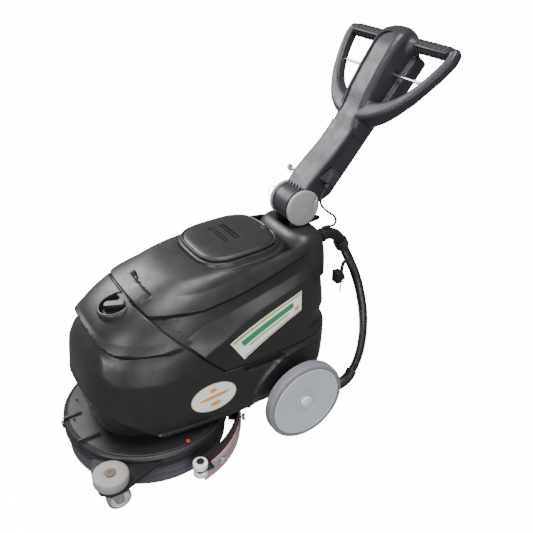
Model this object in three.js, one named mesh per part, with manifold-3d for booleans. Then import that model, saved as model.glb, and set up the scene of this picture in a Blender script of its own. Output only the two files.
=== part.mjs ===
// Compact walk-behind floor scrubber: tanks, brush deck, curved squeegee, wheels and a folding handle.
// Millimetres, +Z up, front of the machine towards -Y, its left side towards +X.
// Sizes below are measured from the rear axle (y = 0) and the floor (z = 0); the last lines move the
// whole group so that its origin is the bottom centre of the object without its hose and cable.

import * as THREE from 'three';
import { mergeVertices } from 'three/addons/utils/BufferGeometryUtils.js';
import Module from 'manifold-3d';

const wasm = await Module();
wasm.setup();

// ---------------------------------------------------------------- driving dimensions

const GAP = 0.4;

const wheelRadius = 110;
const wheelWidth = 40;
const wheelOuterX = 227;
const hubRadius = 90;
const axleRadius = 10;

const bodyHalfWidth = 186;
const vacuumY = -92;
const bodyBottom = 114;
const tankWall = 5;
const seamCorner = { y: -212, z: 262 };
const seamSlope = 1.06;
const archRadius = 132;
const archInnerX = 176;
const motorBayRadius = 82;
const motorBayTop = 232;

const lid = { y: -102, z: 505, halfWidth: 101, halfLength: 103, thickness: 14 };
const lidOpening = 78;
const filler = { x: 34, y: -397.5, z: 374, radius: 36, tilt: 15.4, seat: 42, top: 62 };
const float = { radius: 21, foot: 360, top: 452 };

const deck = { y: -345, radius: 209, bottom: 64, top: 100 };
const brushRadius = 190;
const skirtRadius = 200;
const shaftRadius = 13;

const bumper = { x: 203, y: -515.5, radius: 41, bottom: 84.6, top: 112 };
const caster = { radius: 29, width: 22, trail: 12 };

const squeegeeRadius = 244;
const squeegeeHalfAngle = 79;
const rollerRadius = 18;

const hinge = {
  y: 88.5, z: 559, radius: 44, halfWidth: 34, capRadius: 47, capWidth: 9,
  pinRadius: 8, boreRadius: 8.4, footZ: 479,
};
const handleLean = 39;
const armHalfWidth = 41;
const armRear = -56;
const headFoot = 219;
const grip = { height: 478, core: 11, radius: 15, inner: 56, outer: 180 };
const loopBar = 13;
const switchBar = { height: 392, depth: -2, radius: 4, reach: 155 };

const elbow = { x: 62, z: 482, radius: 15 };
const cordHook = { x: 124, z: 384 };
const hoseRadius = 13;
const cableRadius = 3;

// ---------------------------------------------------------------- colours

const looks = {
  tank: { color: 0x2c2c2e, roughness: 0.45, metalness: 0 },
  black: { color: 0x161617, roughness: 0.55, metalness: 0 },
  handle: { color: 0x63656f, roughness: 0.42, metalness: 0.15 },
  grip: { color: 0x2e2f33, roughness: 0.8, metalness: 0 },
  paleGrey: { color: 0xa9abae, roughness: 0.45, metalness: 0 },
  hub: { color: 0xbcc0c6, roughness: 0.4, metalness: 0 },
  tyre: { color: 0x6e6a78, roughness: 0.75, metalness: 0 },
  bumper: { color: 0x9b9c96, roughness: 0.6, metalness: 0 },
  white: { color: 0xe8e8ea, roughness: 0.4, metalness: 0 },
  rubber: { color: 0xb5656c, roughness: 0.6, metalness: 0 },
  steel: { color: 0xb8babd, roughness: 0.3, metalness: 1 },
  bristle: { color: 0x2a3a66, roughness: 0.8, metalness: 0 },
  motor: { color: 0x3a3c40, roughness: 0.4, metalness: 0.6 },
  red: { color: 0xc8232b, roughness: 0.4, metalness: 0 },
};

const machine = new THREE.Group();
const nodes = {};

function addPart(name, geometry, look, parent = machine) {
  const mesh = new THREE.Mesh(geometry, new THREE.MeshStandardMaterial(looks[look]));
  mesh.name = name;
  parent.add(mesh);
  nodes[name] = mesh;
  return mesh;
}

// ---------------------------------------------------------------- shape helpers

const radians = THREE.MathUtils.degToRad;

function weld(geometry) {
  const bare = geometry.clone();
  for (const attribute of Object.keys(bare.attributes)) {
    if (attribute !== 'position') bare.deleteAttribute(attribute);
  }
  return mergeVertices(bare, 1e-4);
}

function signedVolume(geometry) {
  const corners = geometry.index.array;
  const position = geometry.attributes.position;
  const [a, b, c] = [new THREE.Vector3(), new THREE.Vector3(), new THREE.Vector3()];
  let volume = 0;
  for (let i = 0; i < corners.length; i += 3) {
    a.fromBufferAttribute(position, corners[i]);
    b.fromBufferAttribute(position, corners[i + 1]);
    c.fromBufferAttribute(position, corners[i + 2]);
    volume += a.dot(b.cross(c)) / 6;
  }
  return volume;
}

function facingOut(geometry) {
  const closed = weld(geometry);
  if (signedVolume(closed) < 0) {
    const corners = closed.index.array;
    for (let i = 0; i < corners.length; i += 3) {
      [corners[i], corners[i + 1]] = [corners[i + 1], corners[i]];
    }
  }
  closed.userData.closed = true;
  return closed;
}

function toManifold(geometry) {
  const closed = geometry.userData.closed ? geometry : facingOut(geometry);
  return new wasm.Manifold(new wasm.Mesh({
    numProp: 3,
    vertProperties: Float32Array.from(closed.attributes.position.array),
    triVerts: Uint32Array.from(closed.index.array),
  }));
}

function toGeometry(manifold) {
  const mesh = manifold.getMesh();
  const geometry = new THREE.BufferGeometry();
  geometry.setAttribute('position', new THREE.BufferAttribute(Float32Array.from(mesh.vertProperties), 3));
  geometry.setIndex(new THREE.BufferAttribute(Uint32Array.from(mesh.triVerts), 1));
  geometry.userData.closed = true;
  return geometry;
}

function join(...geometries) {
  return toGeometry(geometries.map(toManifold).reduce((sum, next) => sum.add(next)));
}

function cut(geometry, ...tools) {
  return toGeometry(tools.map(toManifold).reduce((rest, tool) => rest.subtract(tool), toManifold(geometry)));
}

function common(first, second) {
  return toGeometry(toManifold(first).intersect(toManifold(second)));
}

function box(x0, x1, y0, y1, z0, z1) {
  return new THREE.BoxGeometry(x1 - x0, y1 - y0, z1 - z0)
    .translate((x0 + x1) / 2, (y0 + y1) / 2, (z0 + z1) / 2);
}

function cylinderX(radius, x0, x1, y = 0, z = 0, sides = 20) {
  return new THREE.CylinderGeometry(radius, radius, x1 - x0, sides)
    .rotateZ(-Math.PI / 2).translate((x0 + x1) / 2, y, z);
}

function cylinderY(radius, y0, y1, x = 0, z = 0, sides = 16) {
  return new THREE.CylinderGeometry(radius, radius, y1 - y0, sides).translate(x, (y0 + y1) / 2, z);
}

function cylinderZ(radius, z0, z1, x = 0, y = 0, sides = 20) {
  return new THREE.CylinderGeometry(radius, radius, z1 - z0, sides)
    .rotateX(Math.PI / 2).translate(x, y, (z0 + z1) / 2);
}

function turned(profile, sides = 24) {
  const points = profile.map(([r, h]) => new THREE.Vector2(r, h));
  return facingOut(new THREE.LatheGeometry(points, sides));
}

function turnedZ(profile, x = 0, y = 0, z = 0, sides = 24) {
  return turned(profile, sides).rotateX(Math.PI / 2).translate(x, y, z);
}

function turnedX(profile, x = 0, y = 0, z = 0, sides = 24) {
  return turned(profile, sides).rotateZ(-Math.PI / 2).translate(x, y, z);
}

function ringZ(inner, outer, z0, z1, x = 0, y = 0, sides = 24) {
  return turnedZ([[inner, z0], [outer, z0], [outer, z1], [inner, z1], [inner, z0]], x, y, 0, sides);
}

function plateZ(points, z0, z1) {
  const shape = new THREE.Shape(points.map(([x, y]) => new THREE.Vector2(x, y)));
  return new THREE.ExtrudeGeometry(shape, { depth: z1 - z0, bevelEnabled: false }).translate(0, 0, z0);
}

// An outline in the YZ plane given as [y, z] pairs, as thick as x0 to x1.
function plateX(points, x0, x1) {
  const shape = new THREE.Shape(points.map(([y, z]) => new THREE.Vector2(y, z)));
  const slab = new THREE.ExtrudeGeometry(shape, { depth: x1 - x0, bevelEnabled: false });
  const cycle = new THREE.Matrix4().makeBasis(
    new THREE.Vector3(0, 1, 0), new THREE.Vector3(0, 0, 1), new THREE.Vector3(1, 0, 0));
  return slab.applyMatrix4(cycle).translate(x0, 0, 0);
}

// A curved wall: part of a ring about a vertical axis, from angle a0 to a1 in degrees.
function arcWall(inner, outer, z0, z1, a0, a1, x, y, steps) {
  const angles = Array.from({ length: steps + 1 }, (_, i) => radians(a0 + (a1 - a0) * i / steps));
  const outside = angles.map((a) => [x + outer * Math.cos(a), y + outer * Math.sin(a)]);
  const inside = angles.map((a) => [x + inner * Math.cos(a), y + inner * Math.sin(a)]).reverse();
  return plateZ([...outside, ...inside], z0, z1);
}

function polygonShape(radius, sides) {
  const corners = Array.from({ length: sides }, (_, i) => {
    const angle = 2 * Math.PI * i / sides;
    return new THREE.Vector2(radius * Math.cos(angle), radius * Math.sin(angle));
  });
  return new THREE.Shape(corners);
}

function tubeAlong(points, radius, sides, steps) {
  const path = new THREE.CatmullRomCurve3(points.map((p) => new THREE.Vector3(...p)), false, 'centripetal');
  return facingOut(new THREE.ExtrudeGeometry(polygonShape(radius, sides), { steps, extrudePath: path }));
}

// Skin over a stack of closed outlines with the same number of points, with a flat end at each side.
function loft(outlines) {
  const count = outlines[0].length;
  const corners = outlines.flat();
  const ends = [outlines[0], outlines[outlines.length - 1]].map((outline) => {
    const middle = outline.reduce((sum, p) => sum.map((v, i) => v + p[i] / count), [0, 0, 0]);
    return corners.push(middle) - 1;
  });
  const faces = [];
  for (let row = 0; row + 1 < outlines.length; row++) {
    for (let i = 0; i < count; i++) {
      const [a, b] = [row * count + i, row * count + (i + 1) % count];
      faces.push(a, b, b + count, a, b + count, a + count);
    }
  }
  const last = (outlines.length - 1) * count;
  for (let i = 0; i < count; i++) {
    const next = (i + 1) % count;
    faces.push(ends[0], next, i, ends[1], last + i, last + next);
  }
  const geometry = new THREE.BufferGeometry();
  geometry.setAttribute('position', new THREE.BufferAttribute(new Float32Array(corners.flat()), 3));
  geometry.setIndex(faces);
  return facingOut(geometry);
}

// Rounded-square outline at one height: half width, front and rear limits, and squareness.
function bodySlice(z, halfWidth, front, rear, squareness, points = 32) {
  const middle = (front + rear) / 2;
  const halfLength = (rear - front) / 2;
  return Array.from({ length: points }, (_, i) => {
    const angle = 2 * Math.PI * i / points;
    const [c, s] = [Math.cos(angle), Math.sin(angle)];
    const reach = (Math.abs(c) ** squareness + Math.abs(s) ** squareness) ** (-1 / squareness);
    return [halfWidth * reach * c, middle + halfLength * reach * s, z];
  });
}

// ---------------------------------------------------------------- body shell, split into the two tanks

const bodyShape = [
  // height, half width, front, rear, squareness
  [bodyBottom, 172, -500, 122, 3.2],
  [150, bodyHalfWidth - 2, -510, 134, 3.2],
  [220, bodyHalfWidth, -512, 140, 3.2],
  [300, bodyHalfWidth - 2, -506, 140, 3.1],
  [350, 178, -494, 139, 3.0],
  [390, 166, -468, 138, 2.9],
  [425, 152, -424, 136, 2.9],
  [455, 138, -366, 134, 2.9],
  [480, 124, -300, 130, 3.0],
  [496, 112, -236, 124, 3.2],
  [lid.z - 6, 103, -214, 116, 3.4],
];

function bodyLoft(inset) {
  const top = bodyShape.length - 1;
  return loft(bodyShape.map(([z, halfWidth, front, rear, squareness], i) => {
    const height = i === 0 ? z + inset : i === top ? z - inset : z;
    return bodySlice(height, halfWidth - inset, front + inset, rear - inset, squareness);
  }));
}

function wheelWells(grow) {
  const well = (x0, x1) => cylinderX(archRadius - 6 + grow, x0, x1, 0, wheelRadius, 28);
  return [well(archInnerX - grow, 260), well(-260, -archInnerX + grow)];
}

function aboveSeam(lift) {
  const { y, z } = seamCorner;
  const far = 700;
  return plateX([[y - lift / 2, z + lift], [far, z + lift], [far, 2 * far], [y - far, 2 * far],
    [y - far, z + lift + seamSlope * (far - lift / 2)]], -300, 300);
}

function belowSeam(drop) {
  const { y, z } = seamCorner;
  const far = 700;
  return plateX([[y - drop / 2, z - drop], [y - far, z - drop + seamSlope * (far - drop / 2)],
    [y - far, -far], [far, -far], [far, z - drop]], -300, 300);
}

function alongFiller(geometry) {
  return geometry.rotateX(radians(filler.tilt)).translate(filler.x, filler.y, filler.z);
}

function makeSolutionTank() {
  const boss = alongFiller(cylinderZ(filler.radius + 7, -20, filler.top, 0, 0, 24));
  const outside = common(join(bodyLoft(0), boss), belowSeam(GAP));
  const recess = alongFiller(cylinderZ(filler.radius, filler.seat, 120, 0, 0, 24));
  const bossWall = alongFiller(cylinderZ(filler.radius + 7, filler.seat - tankWall, 120, 0, 0, 24));
  const inside = common(bodyLoft(tankWall), belowSeam(tankWall + GAP));
  const cavity = cut(inside, box(-200, 200, -195, 200, 0, 400));
  const neck = alongFiller(cylinderZ(filler.radius - 8, -60, 80, 0, 0, 20));
  const motorBay = cylinderZ(motorBayRadius, 60, motorBayTop, 0, deck.y, 24);
  const roomInside = common(bodyLoft(tankWall), box(-200, 200, -188, 200, 60, seamCorner.z - tankWall));
  const vacuumBay = join(cut(roomInside, ...wheelWells(tankWall)), box(-152, 152, -180, 100, 60, 150));
  const axleHole = cylinderX(axleRadius + 1.4, -200, 200, 0, wheelRadius, 24);
  const bayWall = cylinderZ(motorBayRadius + tankWall, 60, motorBayTop + tankWall, 0, deck.y, 24);
  addPart('solution_tank',
    cut(outside, cut(cavity, bayWall, bossWall), recess, neck, motorBay, vacuumBay, axleHole,
      ...wheelWells(0)), 'tank');
}

function makeFillerCap() {
  const capRadius = filler.radius - 1.5;
  const profile = [[0, 0], [capRadius, 0], [capRadius, 6], [capRadius - 3, 9], [0, 9]];
  const bar = box(-6, 6, -26, 26, 8, 19);
  const plug = cylinderZ(filler.radius - 10, -14, 2, 0, 0, 20);
  const cap = join(turnedZ(profile, 0, 0, 0, 20), bar, plug).translate(0, 0, filler.seat + GAP);
  addPart('filler_cap', alongFiller(cap), 'black');
}

function makeRecoveryTank() {
  const flange = loft([bodySlice(lid.z - 12, 104, lid.y - 106, lid.y + 106, 3.4),
    bodySlice(lid.z, 104, lid.y - 106, lid.y + 106, 3.4)]);
  const shoulder = loft([bodySlice(400, 122, -10, 138, 3.4, 32), bodySlice(470, 108, 20, 137, 3.2, 32),
    bodySlice(495, 98, 36, 136, 3.2, 32), bodySlice(508, 84, 48, 130, 3.2, 32)]);
  const outside = common(join(bodyLoft(0), flange, shoulder), aboveSeam(GAP));
  const cavity = cut(common(bodyLoft(tankWall), aboveSeam(tankWall + GAP)), box(-44, 44, 52, 150, 440, 530));
  const mouth = loft([bodySlice(440, lidOpening, lid.y - lidOpening, lid.y + lidOpening, 3.2),
    bodySlice(530, lidOpening, lid.y - lidOpening, lid.y + lidOpening, 3.2)]);
  const bracketSlot = box(-38, 38, 58, 118, hinge.footZ - 1, 530);
  const elbowHole = cylinderY(elbow.radius + 1, 112, 150, elbow.x, elbow.z);
  addPart('recovery_tank', cut(outside, cavity, mouth, bracketSlot, elbowHole), 'tank');
}

function makeLid() {
  const { y, z, halfWidth, halfLength, thickness } = lid;
  const low = z + 2.2;
  const slab = loft([
    bodySlice(low, halfWidth, y - halfLength, y + halfLength, 3.3),
    bodySlice(low + thickness - 6, halfWidth, y - halfLength, y + halfLength, 3.3),
    bodySlice(low + thickness - 2, halfWidth - 8, y - halfLength + 8, y + halfLength - 8, 3.3),
    bodySlice(low + thickness, halfWidth - 14, y - halfLength + 14, y + halfLength - 14, 3.3),
  ]);
  const rear = y + halfLength;
  const ear = (x0, x1) => box(x0, x1, rear - 4, rear + 7, low + 2, low + 12);
  const pinHole = cylinderX(3.4, -30, 30, rear + 3, low + 7, 16);
  addPart('tank_lid', cut(join(slab, ear(-24, -14), ear(14, 24)), pinHole), 'tank');
  const gasketBlock = (half, z0, z1) => loft([bodySlice(z0, half, y - half, y + half, 3.2),
    bodySlice(z1, half, y - half, y + half, 3.2)]);
  addPart('lid_gasket', cut(gasketBlock(90, z + 0.3, low - GAP), gasketBlock(82, z - 5, z + 20)), 'black');
  addPart('lid_hinge_pin', join(cylinderX(3, -26, 26, rear + 3, low + 7, 16),
    box(-12, 12, rear + 1, rear + 6, z + 0.4, low + 7)), 'steel');
}

// A ball in a cage under the lid: it floats up and shuts the suction when the recovery tank is full.
function makeFloat() {
  const { y } = lid;
  const rods = [0, 90, 180, 270].map(radians).map((a) => cylinderZ(2.5, float.foot, float.top,
    26 * Math.cos(a), y + 26 * Math.sin(a), 6));
  const stem = ringZ(10, 16, float.top - 4, 492, 0, y, 12);
  const bridge = cut(box(-112, 112, y - 9, y + 9, 478, 486), cylinderZ(12, 470, 495, 0, y, 12));
  const base = ringZ(20, 30, float.foot - 4, float.foot + 1, 0, y, 16);
  const crown = ringZ(12, 30, float.top - 6, float.top, 0, y, 16);
  addPart('float_cage', join(base, crown, stem, common(bridge, bodyLoft(tankWall + GAP)), ...rods), 'white');
  addPart('float_ball', new THREE.SphereGeometry(float.radius, 14, 9).translate(0, y, 386), 'bumper');
}

// ---------------------------------------------------------------- chassis and drives

function makeChassis() {
  const plate = plateZ([[-150, -176], [150, -176], [150, -100], [140, 98], [-140, 98], [-150, -100]],
    deck.top + GAP, 113.4);
  const neck = box(-60, 60, -260, -170, deck.top + GAP, 113.4);
  const block = (x0, x1) => box(x0, x1, -26, 26, 84, 128);
  const blocks = [block(118, 146), block(-146, -118)];
  const axleHole = cylinderX(axleRadius + GAP, -190, 190, 0, wheelRadius, 24);
  const airHole = cylinderZ(40, 90, 120, 0, vacuumY, 20);
  addPart('chassis_frame', cut(join(plate, neck, ...blocks), axleHole, airHole), 'black');
  addPart('rear_axle', cylinderX(axleRadius, -218, 218, 0, wheelRadius, 16), 'steel');
  addPart('brush_motor', join(cylinderZ(62, 150, 226, 0, deck.y, 20), cylinderZ(66, 142, 152, 0, deck.y, 20),
    cylinderZ(16, 136, 145, 0, deck.y, 20)), 'motor');
  const gearCase = join(cylinderZ(74, deck.top + GAP, 134, 0, deck.y, 20),
    cylinderZ(70, 130, 141.6, 0, deck.y, 20));
  const motorSeat = cylinderZ(16.4, 125, 150, 0, deck.y, 20);
  const shaftHole = cylinderZ(shaftRadius + GAP, 90, 122, 0, deck.y, 24);
  addPart('gearbox', cut(gearCase, motorSeat, shaftHole), 'motor');
  addPart('vacuum_motor', join(cylinderZ(58, bodyBottom, 190, 0, vacuumY, 20),
    cylinderZ(40, 186, 228, 0, vacuumY, 20)), 'motor');
}

function makeWheel(side) {
  const name = side > 0 ? 'left' : 'right';
  const inner = wheelOuterX - wheelWidth;
  const place = (profile) => turnedX(profile, 0, 0, wheelRadius, 28).scale(side, 1, 1);
  const tyre = [[hubRadius + GAP, inner], [wheelRadius - 4, inner], [wheelRadius, inner + 6],
    [wheelRadius, wheelOuterX - 6], [wheelRadius - 4, wheelOuterX], [hubRadius + GAP, wheelOuterX],
    [hubRadius + GAP, inner]];
  const hub = [[axleRadius + GAP, inner], [hubRadius, inner], [hubRadius, wheelOuterX - 2],
    [hubRadius - 6, wheelOuterX], [34, wheelOuterX - 5], [axleRadius + 7, wheelOuterX - 5],
    [axleRadius + 7, wheelOuterX - 8], [axleRadius + GAP, wheelOuterX - 8], [axleRadius + GAP, inner]];
  const cap = [[0, wheelOuterX - 7.4], [16, wheelOuterX - 7.4], [16, wheelOuterX + 1],
    [12, wheelOuterX + 4], [0, wheelOuterX + 4]];
  addPart(`${name}_tyre`, facingOut(place(tyre)), 'tyre');
  addPart(`${name}_hub`, facingOut(place(hub)), 'hub');
  addPart(`${name}_hub_cap`, facingOut(place(cap)), 'paleGrey');
}

// ---------------------------------------------------------------- brush deck

function makeDeck() {
  const { y, radius, bottom, top } = deck;
  const coverProfile = [[14, top - 8], [radius - 12, top - 8], [radius - 8, top - 12], [radius - 8, bottom],
    [radius, bottom], [radius, top - 10], [radius - 7, top - 2], [radius - 60, top], [14, top], [14, top - 8]];
  const cover = turnedZ(coverProfile, 0, y, 0, 40);
  const tab = box(-40, -24, y - radius - 1.5, y - radius + 6, 78, 92);
  addPart('deck_cover', join(cover, tab), 'black');
  addPart('deck_skirt', ringZ(skirtRadius - 5, skirtRadius, 26, bottom + 24, 0, y, 36), 'grip');
  addPart('valve_knob', join(cylinderZ(7, 101, 109, 194, -320), cylinderZ(4, 99, 102, 194, -320, 12)), 'red');
}

// The plate beside the deck that carries the bumper roller above it and the caster below.
function makeCornerBracket() {
  const plate = plateZ([[110, -532], [150, -546], [188, -552], [222, -550], [240, -532], [241, -500],
    [203, -390], [170, -420]], 74, 84);
  const rib = plateX([[-502, 84], [-545, 84], [-545, 87], [-518, 96], [-502, 98]], 150, 155);
  const deckSide = cylinderZ(deck.radius + 2 * GAP, 50, 120, 0, deck.y, 40);
  const boltHole = cylinderZ(6.4, 60, 100, bumper.x, bumper.y, 20);
  addPart('corner_bracket', cut(join(plate, rib), deckSide, boltHole), 'black');
}

function makeBumper() {
  const { x, y, radius, bottom, top } = bumper;
  const profile = [[6.5, bottom], [radius - 5, bottom], [radius, bottom + 6], [radius, top - 7],
    [radius - 6, top], [11, top], [11, top - 5], [6.5, top - 5], [6.5, bottom]];
  addPart('bumper_roller', turnedZ(profile, x, y, 0, 24), 'bumper');
  const shank = cylinderZ(6, 66, top - 4, x, y, 20);
  const boltHead = cylinderZ(10, top - 4.6, top - 1, x, y, 6);
  const collar = cylinderZ(10, 66, 73.6, x, y, 20);
  addPart('bumper_bolt', join(shank, boltHead, collar), 'steel');
}

function makeCaster() {
  const { radius, width, trail } = caster;
  const { x, y } = bumper;
  const half = width / 2;
  const axleY = y + trail;
  const forkTop = 65.4;
  const cheek = (x0, x1) => plateX([[y - 14, forkTop], [y + 20, forkTop], [axleY + 9, radius - 8],
    [axleY - 9, radius - 8]], x0, x1);
  const cheeks = [cheek(x - half - 5, x - half - 2), cheek(x + half + 2, x + half + 5)];
  const crown = box(x - half - 5, x + half + 5, y - 14, y + 20, forkTop - 5.8, forkTop);
  const axle = cylinderX(3.8, x - half - 7, x + half + 7, axleY, radius, 16);
  addPart('caster_fork', join(crown, ...cheeks, axle), 'steel');
  const profile = [[4.4, -half], [radius - 3, -half], [radius, 3 - half], [radius, half - 3],
    [radius - 3, half], [4.4, half], [4.4, -half]];
  addPart('caster_wheel', turnedX(profile, x, axleY, radius, 24), 'tyre');
}

function makeBrush() {
  const { y } = deck;
  const coupling = cylinderZ(34, 52.4, 64, 0, y, 6);
  addPart('drive_shaft', join(cylinderZ(shaftRadius, 60, 121.6, 0, y, 24), coupling), 'steel');
  const block = [[0, 30], [brushRadius - 8, 30], [brushRadius - 8, 46], [40, 52], [0, 52]];
  addPart('brush_block', turnedZ(block, 0, y, 0, 32), 'motor');
  addPart('brush_bristles', turnedZ([[70, 0], [brushRadius, 0], [brushRadius - 12, 29.6], [62, 29.6], [70, 0]],
    0, y, 0, 32), 'bristle');
}

// ---------------------------------------------------------------- squeegee

const squeegeeStart = 90 - squeegeeHalfAngle;
const squeegeeEnd = 90 + squeegeeHalfAngle;

function squeegeeArc(inner, outer, z0, z1, trim = 0) {
  return arcWall(inner, outer, z0, z1, squeegeeStart + trim, squeegeeEnd - trim, 0, deck.y, 22);
}

function makeSqueegee() {
  const r = squeegeeRadius;
  const { y } = deck;
  const flange = arcWall(214, r - 6.4, 66, 74, squeegeeStart + 2, squeegeeEnd - 2, 0, y, 22);
  const wall = squeegeeArc(r - 14, r - 6.4, 22, 74);
  const rollerY = y + 30;
  const rollerX = 247;
  const endPlate = (side) => box(Math.min(side * 224, side * 262), Math.max(side * 224, side * 262),
    y + 18, y + 60, 58, 63);
  const ring = arcWall(211.5, 222, 76, 84, 4, 176, 0, y, 22);
  const posts = [50, 90, 130].map((a) => cylinderZ(3.5, 72, 78,
    218 * Math.cos(radians(a)), y + 218 * Math.sin(radians(a)), 12));
  const stud = (side) => join(...[[5, 38, 83], [9, 80.8, 84], [9, 37, 40.2]].map(([radius, z0, z1]) =>
    cylinderZ(radius, z0, z1, side * rollerX, rollerY, 10)));
  addPart('squeegee_frame', join(flange, wall, endPlate(1), endPlate(-1), stud(1), stud(-1), ring,
    ...posts), 'black');
  addPart('squeegee_blade', squeegeeArc(r - 6, r - 2, 0.6, 48), 'rubber');
  addPart('squeegee_front_blade', squeegeeArc(r - 18.4, r - 14.4, 0.6, 42, 2), 'rubber');
  addPart('squeegee_clamp_strip', squeegeeArc(r - 1.6, r + 0.6, 24, 40, 1), 'steel');
  [24, 62, 118, 156].forEach((a, i) => {
    const nut = join(cylinderX(7, 0, 9, 0, 0, 12), box(3, 9, -13, 13, -2.5, 2.5));
    nut.translate(r + 1, 0, 32).rotateZ(radians(a)).translate(0, y, 0);
    addPart(`wing_nut_${i + 1}`, nut, 'paleGrey');
  });
  for (const side of [1, -1]) {
    const name = side > 0 ? 'left' : 'right';
    const place = (z0) => ringZ(5.4, rollerRadius, z0, z0 + 17, side * rollerX, rollerY, 18);
    addPart(`${name}_upper_roller`, place(63.4), 'white');
    addPart(`${name}_lower_roller`, place(40.6), 'white');
  }
}

// ---------------------------------------------------------------- hinge and handle

function makeHingeBase() {
  const { y, z, radius, halfWidth, footZ } = hinge;
  const cheek = (x0, x1) => join(cylinderX(radius - 8, x0, x1, y, z, 24),
    plateX([[y - 26, footZ], [y + 19, footZ], [y + 33, z], [y - 33, z]], x0, x1));
  const cheeks = [cheek(halfWidth - 6, halfWidth + 1), cheek(-halfWidth - 1, 6 - halfWidth)];
  const foot = box(-36, 36, 62, 108, footZ, footZ + 17);
  const ear = plateX([[y + 18, 510], [y + 56, 513], [y + 60, 521], [y + 50, 525], [y + 20, 519]], 30, 35);
  const rib = plateX([[y + 4, 490], [y + 20, 490], [y + 24, 500], [y + 18, 513], [y + 4, 512]], -24, 34);
  const pinHole = cylinderX(hinge.boreRadius, -60, 60, y, z, 24);
  const drumRoom = cylinderX(radius + 1, 6.4 - halfWidth, halfWidth - 6.4, y, z, 28);
  addPart('hinge_bracket', cut(join(foot, ...cheeks, ear, rib), pinHole, drumRoom), 'black');
  addPart('hinge_pin', cylinderX(hinge.pinRadius, -42, 42, y, z, 24), 'steel');
}

const handle = new THREE.Group();
handle.position.set(0, hinge.y, hinge.z);
handle.rotation.x = radians(-handleLean);
machine.add(handle);

// In the handle's own frame z runs up the arm and -y is its front face. Front face as [z, depth].
const armFront = [[0, 0], [34, 26], [70, 27], [110, 22], [160, 14], [215, 11], [260, 19], [320, 37],
  [380, 45], [440, 49], [478, 46], [500, 34], [512, 12]];
const armBack = [[508, -22], [490, -42], [460, armRear], [60, armRear], [34, -40]];

function faceBetween(face, from, to) {
  return face.filter(([z]) => z >= from && z <= to).map(([z, d]) => [-d, z]);
}

function makeHandleArm() {
  const drum = cylinderX(hinge.radius, 7 - hinge.halfWidth, hinge.halfWidth - 7, 0, 0, 28);
  const top = headFoot - 1;
  const arm = plateX([...faceBetween(armFront, 34, top), [-armRear, top], [-armRear, 60], [40, 50]],
    -armHalfWidth, armHalfWidth);
  const channel = box(-armHalfWidth + 5, armHalfWidth - 5, 10, 80, 62, 230);
  const bore = cylinderX(hinge.boreRadius, -60, 60, 0, 0, 24);
  const besideDrum = (x0, x1) => cylinderX(hinge.capRadius + 1, x0, x1, 0, 0, 28);
  const drumEdge = hinge.halfWidth - 6.8;
  addPart('handle_arm', cut(join(drum, cut(arm, channel)), bore, besideDrum(-60, -drumEdge),
    besideDrum(drumEdge, 60)), 'handle', handle);
}

function makeHingeCaps() {
  const { capRadius, boreRadius } = hinge;
  const inner = hinge.halfWidth + 1.6;
  const outer = inner + hinge.capWidth;
  const profile = [[boreRadius, inner], [capRadius, inner], [capRadius, inner + 6], [capRadius - 4, outer],
    [0, outer], [0, inner + 7], [boreRadius, inner + 7], [boreRadius, inner]];
  for (const side of [1, -1]) {
    const name = side > 0 ? 'left' : 'right';
    const cap = turnedX(profile, 0, 0, 0, 24).scale(side, 1, 1);
    addPart(`${name}_hinge_cap`, facingOut(cap), 'paleGrey', handle);
  }
}

function loopCurve(side) {
  return [[36, -6, 236], [62, -6, 250], [104, -4, 284], [146, -1, 336], [172, 0, 392], [186, 0, 440],
    [193, 0, 466]].map(([x, y, z]) => [side * x, y, z]);
}

function makeHandleHead() {
  const core = plateX([[-11, headFoot], ...faceBetween(armFront, headFoot, 520),
    ...faceBetween(armBack, headFoot, 520), [-armRear, headFoot]], -armHalfWidth - 3, armHalfWidth + 3);
  const recess = plateX([[-60, 250], [-60, 470], [-44, 470], [-40, 440], [-36, 380], [-28, 320],
    [-12, 262]], -28, 28);
  const loops = [1, -1].map((side) => join(tubeAlong(loopCurve(side), loopBar, 8, 12),
    cylinderX(grip.core, 30, 195, 0, grip.height, 12).scale(side, 1, 1),
    new THREE.SphereGeometry(15, 10, 7).translate(side * 190, 0, 474)));
  const hollow = box(-32, 32, -4, 46, 210, 452);
  const barSlot = box(-60, 60, -switchBar.depth - 5, -switchBar.depth + 5, switchBar.height - 6,
    switchBar.height + 18);
  const gripGap = (x0, x1) => cut(cylinderX(40, x0, x1, 0, grip.height, 24),
    cylinderX(grip.core, x0 - 1, x1 + 1, 0, grip.height, 12));
  addPart('handle_head', cut(join(core, ...loops), recess, hollow, barSlot,
    gripGap(grip.inner - 4, grip.outer - 8), gripGap(8 - grip.outer, 4 - grip.inner)), 'handle', handle);
}

function makeGrips() {
  const pitch = 21;
  const count = 5;
  const start = grip.inner;
  const bore = grip.core + GAP;
  const profile = [[bore, 0], [grip.radius, 0]];
  for (let i = 0; i < count; i++) {
    const at = 4 + i * pitch;
    profile.push([grip.radius, at], [grip.radius + 3, at + 4], [grip.radius + 3, at + 14],
      [grip.radius, at + 18]);
  }
  const length = grip.outer - grip.inner - 14;
  profile.push([grip.radius, length], [bore, length], [bore, 0]);
  for (const side of [1, -1]) {
    const sleeve = turnedX(profile, start, 0, grip.height, 12).scale(side, 1, 1);
    addPart(side > 0 ? 'left_grip' : 'right_grip', facingOut(sleeve), 'grip', handle);
  }
}

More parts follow.
